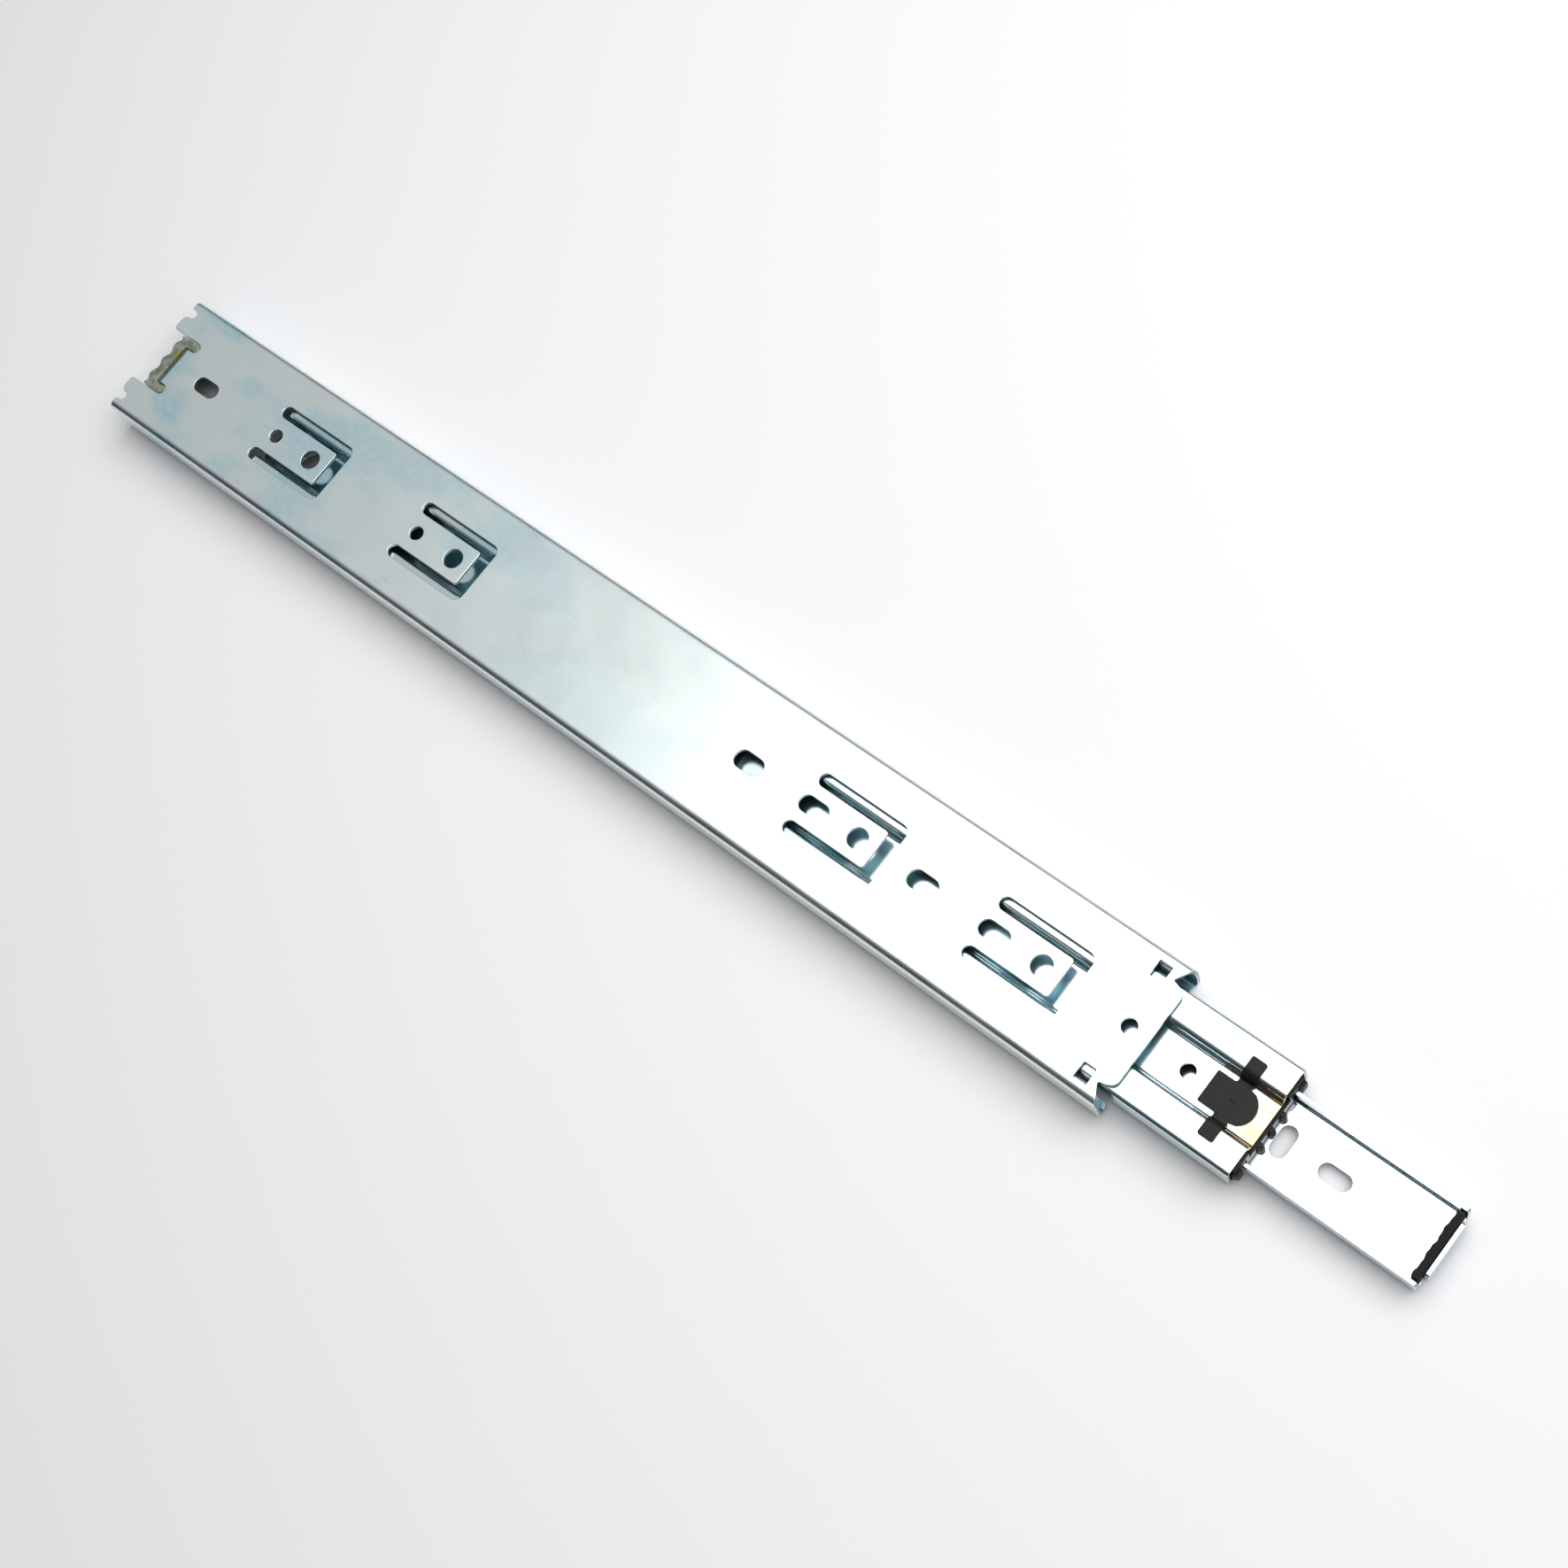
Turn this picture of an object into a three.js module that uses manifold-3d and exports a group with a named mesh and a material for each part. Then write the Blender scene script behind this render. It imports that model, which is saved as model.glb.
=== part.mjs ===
// A 45 mm, three-section, full-extension ball-bearing drawer slide, shown partly drawn out.
// Frame: origin in the middle of the cabinet member's flat back face, +X towards the opening
// end, +Y across the slide, +Z out of the back face. The slide's body lies below the face.
import * as THREE from "three";
import { mergeVertices } from "three/addons/utils/BufferGeometryUtils.js";
import Module from "manifold-3d";

const wasm = await Module();
wasm.setup();

// ---------- driving dimensions, mm ----------

// Overall
const CABINET_LENGTH = 400;
const CABINET_WIDTH = 45.5;
const SLIDE_DEPTH = 12.7; // back face to drawer face
const INTERMEDIATE_OPEN = 42.9; // intermediate member drawn out of its closed place
const DRAWER_OPEN = 47; // drawer member drawn out of the intermediate member
const STAGE_TRAVEL = 200; // each stage, closed to fully out

// Fits
const BALL_DIAMETER = 4.5;
const BALL_CLEARANCE = 0.05; // ball to groove, each side
const GROOVE_DEPTH = 0.225;
const GROOVE_CLEARANCE = 0.35; // of the groove's radius over the ball's
const FIT_GAP = 0.3; // between pieces that touch
const STOP_GAP = 0.2; // left at a closed stop

// Cabinet member
const CABINET_SHEET = 1.2;
const CABINET_BEND = 2.3; // outside radius, web to flange
const CABINET_LIP_BEND = 2.4; // outside radius, flange to lip
const CABINET_LIP_INSET = 0.5; // lip stands this far short of the drawer face
const CABINET_LIP_REACH = 4.3; // lip, measured in from the flange's outside
const OUTER_BALL_DEPTH = 6.1; // ball centre below the back face

// Mounting tabs, each lanced on three sides and drilled twice
const FRONT_TABS = [37, 101]; // large holes, from the front end
const REAR_TABS = [75, 139]; // large holes, from the rear end
const HOLE_PITCH = 16; // small hole or slot behind each large hole
const LARGE_HOLE = 6.4;
const SMALL_HOLE = 4.6;
const TAB_SLOT_LENGTH = 10;
const TAB_SLOT_WIDTH = 5.2;
const LANCE_BEHIND = 20.3; // from the large hole back to the lance's rear end
const LANCE_AHEAD = 11;
const TAB_AHEAD = 6.4;
const TAB_HALF = 6.3;
const TAB_CORNER = 1;
const LANCE_HALF = 10.5;
const LANCE_CORNER = 2.6;

// Other openings in the cabinet member's web
const WEB_SLOTS = [77.8, 141.2]; // centres, from the front end
const WEB_SLOT_LENGTH = 10.1;
const WEB_SLOT_WIDTH = 5.7;
const REAR_SLOT = 25.6; // centre, from the rear end
const REAR_SLOT_LENGTH = 9.9;
const REAR_SLOT_WIDTH = 5.3;
const FRONT_HOLE = 8.2; // centre, from the front end
const FRONT_HOLE_SIZE = 4.6;

// Cage stops: a small window near each front corner, its tab bent down into the ball track
const CAGE_STOP = 10.2; // centre, from the front end
const CAGE_STOP_WIDTH = 4.1;
const CAGE_STOP_INNER = 14.4; // window's inner edge, from the middle
const CAGE_STOP_SHEET = 0.9;
const CAGE_STOP_DROP = 4.2;

// Front edge of the cabinet member's web
const WEB_SETBACK = 1.6; // behind the nominal front end
const TIP_SETBACK = 2.6; // flange tips behind the nominal front end
const WEB_CORNER = 3.8;
const NOTCH_SETBACK = 6;
const NOTCH_HALF = 17.1;
const NOTCH_RADIUS = 0.5;
const FLANGE_SLOPE_DROP = 3; // how far down the flange its sloping front edge runs

// Rear end of the cabinet member
const TAB_FOLD = 8; // outer face of the folded end tab, from the rear end
const END_TAB_HALF = 7;
const END_SLOT = 3.5;
const END_SLOT_DEPTH = 13.4;
const EAR_OUT = 0.5; // ears stand past the flange tips
const EAR_CORNER = 2;
const REAR_NOTCH_HALF = 1.5;
const REAR_NOTCH_DEPTH = 3.1;
const REAR_NOTCH_Y = 17.6;

// Intermediate member
const INTERMEDIATE_SHEET = 1.1;
const INTERMEDIATE_SETBACK = 8.1; // front end behind the cabinet's when closed
const RIDGE_GAP = 0.9; // cabinet web to ridge, where the cage's bridges run
const RECESS_DROP = 3.5; // ridge top down to recess floor
const RECESS_SLOPE = 1.1;
const RECESS_BEND = 0.95;
const RIDGE_BEND = 1.2;
const INTERMEDIATE_BEND = 1.45;
const INTERMEDIATE_LIP_INSET = 0.75;
const INTERMEDIATE_LIP_REACH = 4;
const INTERMEDIATE_HOLES = [24.8, 184.8]; // from the front end
const INTERMEDIATE_HOLE = 4.4;
const ACCESS_HOLE_AT = 361.6; // the way to the rear cabinet screw, from the front end
const ACCESS_HOLE = 8.6;

// Stop clip on the intermediate member's front
const CLIP_SHEET = 0.5;
const CLIP_GAP = 0.25;
const CLIP_FRONT = 3.9; // behind the intermediate member's front end
const CLIP_ARM_CENTRE = 10.5;
const CLIP_ARM_WIDTH = 4.7;
const CLIP_BACK = 18.5;
const CLIP_HALF = 4.9;
const CLIP_NOSE = 5.6; // radius of the round front
const CLIP_ARM_REACH = 12.5;

// Front bumper under the intermediate member's front
const BUMPER_LENGTH = 10;
const BUMPER_FRONT = 0.8; // body stands past the intermediate member's front end
const BUMP_RADIUS = 1.25;
const BUMP_PITCH = 5;
const BUMP_OUT = 2.3; // bump tips past the intermediate member's front end
const BUMPER_WALL = 1.4;
const SLIDE_CLEARANCE = 0.6; // bumper to the drawer member that runs through it
const LUG_OUT = 1.7; // side lugs past the intermediate member's front end

// Drawer member
const DRAWER_SHEET = 1.2;
const DRAWER_BEND = 1.9;
const DRAWER_FLANGE = 6.8; // flange height from the drawer face
const CROSS_SLOT = 47.7; // centre, from the front end
const LONG_SLOTS = [32, 224, 352]; // centres, from the front end
const DRAWER_HOLES = [96, 288]; // round holes, from the front end
const DRAWER_HOLE = 4.6;
const DRAWER_SLOT_LENGTH = 9.5;
const DRAWER_SLOT_WIDTH = 4.9;
const END_TAB_DRAWER_HALF = 8.3;
const END_TAB_DRAWER_RISE = 6.7;
const STRIP_LENGTH = 2.6; // rubber strip, along X
const STRIP_RISE = 4.7;
const STRIP_WAVE = 0.2;

// Cages
const CAGE_LENGTH = 150;
const BALLS_PER_ROW = 10;
const CAGE_SHEET = 0.6;
const RAIL_MARGIN = 0.35; // metal below the ball pockets
const POCKET_CLEARANCE = 0.25;
const BRIDGE_SHEET = 0.4;
const BRIDGE_WIDTH = 8;
const BRIDGE_INSET = 60; // bridges' centres, from the cage's ends
const CAGE_END_GAP = 0.8; // cage to its stop when the stage is fully out

// Release lever
const LEVER_LENGTH = 54;
const LEVER_HUB = 5;
const LEVER_ARM = 3;
const LEVER_PIVOT = 12; // from the lever's rear end
const LEVER_THICKNESS = 2.4;
const RIVET_RADIUS = 1.6;
const RIVET_HEAD = 2.9;
const RIVET_HEAD_THICKNESS = 0.5;

// Rear bumper
const BUMPER_BAND = 3.9; // plastic behind the folded tab
const BUMPER_WAVE = 0.4;

// ---------- derived places ----------

const cabinetFront = CABINET_LENGTH / 2;
const cabinetRear = -cabinetFront;
const ballGap = BALL_DIAMETER + 2 * BALL_CLEARANCE - 2 * GROOVE_DEPTH;
const cabinetHalf = CABINET_WIDTH / 2;
const intermediateHalf = cabinetHalf - CABINET_SHEET - ballGap;
const drawerHalf = intermediateHalf - INTERMEDIATE_SHEET - ballGap;
const grooveRadius = BALL_DIAMETER / 2 + GROOVE_CLEARANCE;
const pocketRadius = BALL_DIAMETER / 2 + POCKET_CLEARANCE;
const outerBallY = intermediateHalf + ballGap / 2;
const innerBallY = drawerHalf + ballGap / 2;
const cabinetLipZ = -(SLIDE_DEPTH - CABINET_LIP_INSET);
const ridgeTop = -(CABINET_SHEET + RIDGE_GAP);
const ridgeUnder = ridgeTop - INTERMEDIATE_SHEET;
const floorTop = ridgeTop - RECESS_DROP;
const floorUnder = floorTop - INTERMEDIATE_SHEET;
const intermediateLipZ = -(SLIDE_DEPTH - INTERMEDIATE_LIP_INSET);
// The inner cage's rails stand a fit gap clear of the intermediate member's lips.
const innerBallDepth = -intermediateLipZ - INTERMEDIATE_SHEET - FIT_GAP - RAIL_MARGIN - pocketRadius;
const drawerWebTop = -(SLIDE_DEPTH - DRAWER_SHEET);
const rimZ = -(SLIDE_DEPTH - DRAWER_FLANGE);

// The recess leaves room for the bumper's uprights between its walls and the drawer's flanges.
const uprightOut = drawerHalf - DRAWER_SHEET - SLIDE_CLEARANCE;
const uprightIn = uprightOut - BUMPER_WALL;
const sheetI = INTERMEDIATE_SHEET / 2;
const wallLean = RECESS_SLOPE * (1 - sheetI / RECESS_DROP);
const wallHalf = (sheetI * Math.hypot(RECESS_SLOPE, RECESS_DROP)) / RECESS_DROP;
const recessCorner = uprightIn - FIT_GAP - wallHalf - wallLean;

const foldFace = cabinetRear + TAB_FOLD; // rear face of the folded end tab
const padFront = cabinetRear + END_SLOT_DEPTH - FIT_GAP; // where the rear bumper stops the members
const closedRear = padFront + STOP_GAP;
const intermediateFront = cabinetFront - INTERMEDIATE_SETBACK + INTERMEDIATE_OPEN;
const intermediateRear = closedRear + INTERMEDIATE_OPEN;
const stripBack = intermediateFront + BUMP_OUT + STOP_GAP + DRAWER_OPEN;
const drawerFront = stripBack + STRIP_LENGTH + FIT_GAP;
const drawerRear = closedRear + INTERMEDIATE_OPEN + DRAWER_OPEN;

const outerCageFront =
  cabinetFront - CAGE_STOP - CAGE_STOP_WIDTH / 2 - CAGE_END_GAP - (STAGE_TRAVEL - INTERMEDIATE_OPEN) / 2;
const bumperBack = intermediateFront + BUMPER_FRONT - BUMPER_LENGTH;
const innerCageFront = bumperBack - CAGE_END_GAP - (STAGE_TRAVEL - DRAWER_OPEN) / 2;
const leverFront = bumperBack - CAGE_END_GAP - (STAGE_TRAVEL - DRAWER_OPEN);

// ---------- helpers ----------

const HOLE_SEGMENTS = 24;
const BEND_STEPS = 5;
const OVERCUT = 2; // a cutting solid runs this far past what it cuts

function toSolid(geometry) {
  const bare = geometry.clone();
  bare.deleteAttribute("normal");
  bare.deleteAttribute("uv");
  const merged = mergeVertices(bare, 1e-5);
  return new wasm.Manifold(
    new wasm.Mesh({
      numProp: 3,
      vertProperties: merged.attributes.position.array,
      triVerts: new Uint32Array(merged.index.array),
    }),
  );
}

function toGeometry(solid) {
  const mesh = solid.getMesh();
  return new THREE.BufferGeometry()
    .setAttribute("position", new THREE.BufferAttribute(mesh.vertProperties, 3))
    .setIndex(new THREE.BufferAttribute(mesh.triVerts, 1));
}

// A shape drawn in X and Y, raised from z0 to z1.
function raised(shape, z0, z1) {
  const g = new THREE.ExtrudeGeometry(shape, { depth: z1 - z0, bevelEnabled: false, curveSegments: 6 });
  return toSolid(g.translate(0, 0, z0));
}

// A shape drawn in Y and Z, drawn out along X.
function drawnAlongX(shape, x0, x1) {
  const g = new THREE.ExtrudeGeometry(shape, { depth: x1 - x0, bevelEnabled: false, curveSegments: 6 });
  const turn = new THREE.Matrix4().makeBasis(
    new THREE.Vector3(0, 1, 0),
    new THREE.Vector3(0, 0, 1),
    new THREE.Vector3(1, 0, 0),
  );
  return toSolid(g.applyMatrix4(turn).translate(x0, 0, 0));
}

// A shape drawn in X and Z, drawn out along Y, centred on y = 0.
function drawnAlongY(shape, width) {
  const g = new THREE.ExtrudeGeometry(shape, { depth: width, bevelEnabled: false, curveSegments: 6 });
  return toSolid(g.rotateX(Math.PI / 2).translate(0, width / 2, 0));
}

function box(x0, x1, y0, y1, z0, z1) {
  const g = new THREE.BoxGeometry(x1 - x0, y1 - y0, z1 - z0);
  return toSolid(g.translate((x0 + x1) / 2, (y0 + y1) / 2, (z0 + z1) / 2));
}

// An upright cylinder.
function post(x, y, radius, z0, z1, segments = HOLE_SEGMENTS) {
  const g = new THREE.CylinderGeometry(radius, radius, z1 - z0, segments);
  return toSolid(g.rotateX(Math.PI / 2).translate(x, y, (z0 + z1) / 2));
}

function rodAlongX(y, z, radius, x0, x1, segments) {
  const g = new THREE.CylinderGeometry(radius, radius, x1 - x0, segments);
  return toSolid(g.rotateZ(Math.PI / 2).translate((x0 + x1) / 2, y, z));
}

function polygon(points) {
  return new THREE.Shape(points.map(([u, v]) => new THREE.Vector2(u, v)));
}

// A slot with round ends, its long way along X, or along Y when across is true.
function slotShape(x, y, length, width, across = false) {
  const r = width / 2;
  const run = length / 2 - r;
  const s = new THREE.Shape();
  if (across) {
    s.absarc(x, y + run, r, 0, Math.PI, false);
    s.absarc(x, y - run, r, Math.PI, 2 * Math.PI, false);
  } else {
    s.absarc(x + run, y, r, -Math.PI / 2, Math.PI / 2, false);
    s.absarc(x - run, y, r, Math.PI / 2, (3 * Math.PI) / 2, false);
  }
  s.closePath();
  return s;
}

// Replaces each corner [u, v, r] of an open path by an arc of radius r.
function roundedPath(corners) {
  const out = [];
  corners.forEach(([u, v, r], i) => {
    const here = new THREE.Vector2(u, v);
    if (!r || i === 0 || i === corners.length - 1) {
      out.push(here);
      return;
    }
    const back = new THREE.Vector2(corners[i - 1][0], corners[i - 1][1]).sub(here).normalize();
    const on = new THREE.Vector2(corners[i + 1][0], corners[i + 1][1]).sub(here).normalize();
    const half = back.angleTo(on) / 2;
    const centre = back.clone().add(on).normalize().multiplyScalar(r / Math.sin(half)).add(here);
    const from = here.clone().addScaledVector(back, r / Math.tan(half)).sub(centre);
    const turn = (back.cross(on) > 0 ? -1 : 1) * (Math.PI - 2 * half);
    for (let k = 0; k <= BEND_STEPS; k++) {
      const a = (turn * k) / BEND_STEPS;
      out.push(from.clone().rotateAround(new THREE.Vector2(), a).add(centre));
    }
  });
  return out;
}

// Moves an open path to its left by d. A corner keeps its arc's centre where its radius allows.
function offsetPath(corners, d) {
  const dirs = corners
    .slice(1)
    .map((c, i) => new THREE.Vector2(c[0] - corners[i][0], c[1] - corners[i][1]).normalize());
  return corners.map(([u, v, r], i) => {
    const before = dirs[Math.max(0, i - 1)];
    const after = dirs[Math.min(dirs.length - 1, i)];
    const normal = new THREE.Vector2(-before.y - after.y, before.x + after.x).normalize();
    const miter = d / Math.sqrt((1 + before.dot(after)) / 2);
    const left = before.cross(after) > 0;
    const radius = r ? Math.max(0.1, left ? r - d : r + d) : 0;
    return [u + normal.x * miter, v + normal.y * miter, radius];
  });
}

// The outline of a sheet between two offsets of a path.
function band(corners, low, high) {
  const lower = roundedPath(offsetPath(corners, low));
  const upper = roundedPath(offsetPath(corners, high)).reverse();
  return new THREE.Shape([...lower, ...upper]);
}

// A half path that starts on the middle line, with its mirror image in front of it.
function mirrored(half) {
  return [...half.slice(1).reverse().map(([u, v, r]) => [-u, v, r]), ...half.slice(1)];
}

// A path's bend radius on its middle, from its outside radius.
function middle(outside, sheet) {
  return outside - sheet / 2;
}

const both = [1, -1];
const group = new THREE.Group();

function finish(name, solid, look) {
  const mesh = new THREE.Mesh(toGeometry(solid), new THREE.MeshStandardMaterial(look));
  mesh.name = name;
  group.add(mesh);
}

const ZINC = { color: 0xd7dde0, roughness: 0.28, metalness: 1 };
const STEEL = { color: 0xb9bdc2, roughness: 0.3, metalness: 1 };
const BALL = { color: 0xd0d2d6, roughness: 0.08, metalness: 1 };
const BLACK_PLASTIC = { color: 0x1d1c1d, roughness: 0.5, metalness: 0 };
const GREY_PLASTIC = { color: 0x8f9184, roughness: 0.45, metalness: 0 };
const RUBBER = { color: 0x161414, roughness: 0.8, metalness: 0 };

// ---------- cabinet member ----------

const cabinetPath = mirrored([
  [0, -CABINET_SHEET / 2, 0],
  [cabinetHalf - CABINET_SHEET / 2, -CABINET_SHEET / 2, middle(CABINET_BEND, CABINET_SHEET)],
  [cabinetHalf - CABINET_SHEET / 2, cabinetLipZ + CABINET_SHEET / 2, middle(CABINET_LIP_BEND, CABINET_SHEET)],
  [cabinetHalf - CABINET_LIP_REACH, cabinetLipZ + CABINET_SHEET / 2, 0],
]);

// The U-shaped cut that frees a mounting tab, open towards the rear on both sides of it.
function lanceShape(hole) {
  const front = hole + LANCE_AHEAD;
  const tip = hole + TAB_AHEAD;
  const rear = hole - LANCE_BEHIND;
  const r = (LANCE_HALF - TAB_HALF) / 2;
  const lineY = TAB_HALF + r;
  const c = LANCE_CORNER;
  const k = TAB_CORNER;
  const s = new THREE.Shape();
  s.moveTo(rear + r, -LANCE_HALF);
  s.absarc(front - c, -LANCE_HALF + c, c, -Math.PI / 2, 0, false);
  s.absarc(front - c, LANCE_HALF - c, c, 0, Math.PI / 2, false);
  s.absarc(rear + r, lineY, r, Math.PI / 2, (3 * Math.PI) / 2, false);
  s.absarc(tip - k, TAB_HALF - k, k, Math.PI / 2, 0, true);
  s.absarc(tip - k, -TAB_HALF + k, k, 0, -Math.PI / 2, true);
  s.absarc(rear + r, -lineY, r, Math.PI / 2, (3 * Math.PI) / 2, false);
  return s;
}

// What is cut off the front of the web: its corners, the notches and the sloping flange ends.
function frontTrimShape() {
  const web = cabinetFront - WEB_SETBACK;
  const notch = cabinetFront - NOTCH_SETBACK;
  const tip = cabinetFront - TIP_SETBACK;
  const out = cabinetFront + OVERCUT;
  const straight = NOTCH_HALF - NOTCH_RADIUS - WEB_CORNER * 0.8;
  const s = new THREE.Shape();
  s.moveTo(out, -cabinetHalf - OVERCUT);
  s.lineTo(out, cabinetHalf + OVERCUT);
  s.lineTo(tip, cabinetHalf + 0.2);
  s.absarc(notch + NOTCH_RADIUS, NOTCH_HALF, NOTCH_RADIUS, (3 * Math.PI) / 4, (3 * Math.PI) / 2, false);
  s.bezierCurveTo(web - 1, NOTCH_HALF - 1, web, straight + 1.2, web, straight);
  s.lineTo(web, -straight);
  s.bezierCurveTo(
    web, -straight - 1.2,
    web - 1, -NOTCH_HALF + 1,
    notch + NOTCH_RADIUS, -NOTCH_HALF + NOTCH_RADIUS,
  );
  s.absarc(notch + NOTCH_RADIUS, -NOTCH_HALF, NOTCH_RADIUS, Math.PI / 2, (5 * Math.PI) / 4, false);
  s.lineTo(tip, -cabinetHalf - 0.2);
  return s;
}

// One ear and its notch at the rear end, as the web's outline between the slot and the flange.
function earShape(side) {
  const inner = END_TAB_HALF + END_SLOT;
  const outer = REAR_NOTCH_Y - REAR_NOTCH_HALF;
  const rear = cabinetRear - EAR_OUT;
  const s = new THREE.Shape();
  s.moveTo(cabinetRear + END_SLOT_DEPTH, inner);
  s.lineTo(cabinetRear + END_SLOT_DEPTH, outer);
  s.lineTo(rear + EAR_CORNER, outer);
  s.absarc(rear + EAR_CORNER, outer - EAR_CORNER, EAR_CORNER, Math.PI / 2, Math.PI, false);
  s.absarc(rear + 1, inner + 1, 1, Math.PI, (3 * Math.PI) / 2, false);
  if (side > 0) return s;
  return polygon(s.getPoints(6).map((p) => [p.x, -p.y]).reverse());
}

function makeCabinetMember() {
  let body = drawnAlongX(band(cabinetPath, -CABINET_SHEET / 2, CABINET_SHEET / 2), cabinetRear, cabinetFront);
  const through = [-CABINET_SHEET - OVERCUT, OVERCUT];
  const cut = (shape) => (body = body.subtract(raised(shape, ...through)));
  const drill = (x, size) => (body = body.subtract(post(x, 0, size / 2, ...through)));

  const tabs = [
    ...FRONT_TABS.map((d) => [cabinetFront - d, true]),
    ...REAR_TABS.map((d) => [cabinetRear + d, false]),
  ];
  for (const [x, slotted] of tabs) {
    cut(lanceShape(x));
    drill(x, LARGE_HOLE);
    if (slotted) cut(slotShape(x - HOLE_PITCH, 0, TAB_SLOT_LENGTH, TAB_SLOT_WIDTH));
    else drill(x - HOLE_PITCH, SMALL_HOLE);
  }
  for (const d of WEB_SLOTS) cut(slotShape(cabinetFront - d, 0, WEB_SLOT_LENGTH, WEB_SLOT_WIDTH));
  cut(slotShape(cabinetRear + REAR_SLOT, 0, REAR_SLOT_LENGTH, REAR_SLOT_WIDTH));
  drill(cabinetFront - FRONT_HOLE, FRONT_HOLE_SIZE);

  // Ball grooves, one in each flange
  for (const side of both) {
    const y = side * (cabinetHalf - CABINET_SHEET + GROOVE_DEPTH - grooveRadius);
    body = body.subtract(
      rodAlongX(y, -OUTER_BALL_DEPTH, grooveRadius, cabinetRear - 1, cabinetFront + 1, 48),
    );
  }

  // Cage stops
  const stopX = cabinetFront - CAGE_STOP;
  const x0 = stopX - CAGE_STOP_WIDTH / 2;
  const x1 = stopX + CAGE_STOP_WIDTH / 2;
  const tabOut = outerBallY + 0.1;
  for (const side of both) {
    const [a, b] = [side * CAGE_STOP_INNER, side * tabOut].sort((p, q) => p - q);
    body = body.subtract(box(x0, x1, a, b, ...through));
    const [c, d] = [side * (tabOut - CAGE_STOP_SHEET), side * (tabOut + 0.1)].sort((p, q) => p - q);
    body = body.add(box(x0 + 0.2, x1 - 0.2, c, d, -CAGE_STOP_DROP, -CABINET_SHEET / 3));
  }

  body = body.subtract(raised(frontTrimShape(), -FLANGE_SLOPE_DROP, OVERCUT));
  for (const side of both) {
    const [a, b] = [side * NOTCH_HALF, side * (cabinetHalf + OVERCUT)].sort((p, q) => p - q);
    body = body.subtract(
      box(cabinetFront - TIP_SETBACK, cabinetFront + OVERCUT, a, b, -SLIDE_DEPTH - OVERCUT, OVERCUT),
    );
  }

  // Rear end: the web is cut back to the slots' ends, then the ears and the folded tab are put on
  const slotEnd = cabinetRear + END_SLOT_DEPTH;
  const notch = REAR_NOTCH_Y + REAR_NOTCH_HALF;
  const back = polygon([
    [cabinetRear - OVERCUT, -notch],
    [slotEnd - END_SLOT / 2, -notch],
    [slotEnd - END_SLOT / 2, notch],
    [cabinetRear - OVERCUT, notch],
  ]);
  cut(back);
  for (const side of both) {
    cut(slotShape(slotEnd - END_SLOT, side * (END_TAB_HALF + END_SLOT / 2), 2 * END_SLOT, END_SLOT));
    const rest = slotEnd - END_SLOT / 2 - 0.5;
    const notchBox = [side * (REAR_NOTCH_Y - REAR_NOTCH_HALF), side * notch].sort((p, q) => p - q);
    const notchX = cabinetRear + REAR_NOTCH_DEPTH - REAR_NOTCH_HALF;
    body = body.add(box(notchX, rest + 1, ...notchBox, -CABINET_SHEET, 0));
    body = body.subtract(post(notchX, side * REAR_NOTCH_Y, REAR_NOTCH_HALF, ...through));
    body = body.add(raised(earShape(side), -CABINET_SHEET, 0).intersect(
      box(cabinetRear - OVERCUT, rest + 0.6, -cabinetHalf, cabinetHalf, -CABINET_SHEET, 0),
    ));
  }
  const foldPath = [
    [slotEnd, -CABINET_SHEET / 2, 0],
    [foldFace + CABINET_SHEET / 2, -CABINET_SHEET / 2, middle(CABINET_BEND, CABINET_SHEET)],
    [foldFace + CABINET_SHEET / 2, cabinetLipZ, 0],
  ];
  const fold = band(foldPath, -CABINET_SHEET / 2, CABINET_SHEET / 2);
  return body.add(drawnAlongY(fold, 2 * END_TAB_HALF));
}

finish("cabinet_member", makeCabinetMember(), ZINC);

// ---------- rear bumper ----------

function makeRearBumper() {
  const armHalf = END_TAB_HALF + END_SLOT - FIT_GAP;
  const tabHalf = END_TAB_HALF + FIT_GAP;
  const bandFront = foldFace - FIT_GAP;
  const waveSteps = 16;
  const outline = [];
  for (let i = 0; i <= waveSteps; i++) {
    const y = armHalf - (2 * armHalf * i) / waveSteps;
    const round = Math.abs(y) > armHalf - 0.1 ? 0.9 : 0;
    outline.push([foldFace - BUMPER_BAND + round - BUMPER_WAVE * Math.cos((y / armHalf) * 3 * Math.PI), y]);
  }
  outline.push([padFront - 1, -armHalf], [padFront, -armHalf + 1], [padFront, -tabHalf - 0.8]);
  outline.push([padFront - 0.8, -tabHalf], [bandFront, -tabHalf]);
  outline.push([bandFront, tabHalf], [padFront - 0.8, tabHalf]);
  outline.push([padFront, tabHalf + 0.8], [padFront, armHalf - 1], [padFront - 1, armHalf]);
  const bottom = cabinetLipZ - FIT_GAP;
  const wrap = raised(polygon(outline), bottom, -0.3);
  const padTop = -(CABINET_SHEET + 1.4);
  const pad = box(foldFace + CABINET_SHEET + FIT_GAP, padFront, -armHalf, armHalf, bottom, padTop);
  return wrap.add(pad);
}

finish("rear_bumper", makeRearBumper(), GREY_PLASTIC);

// ---------- intermediate member ----------

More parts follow.
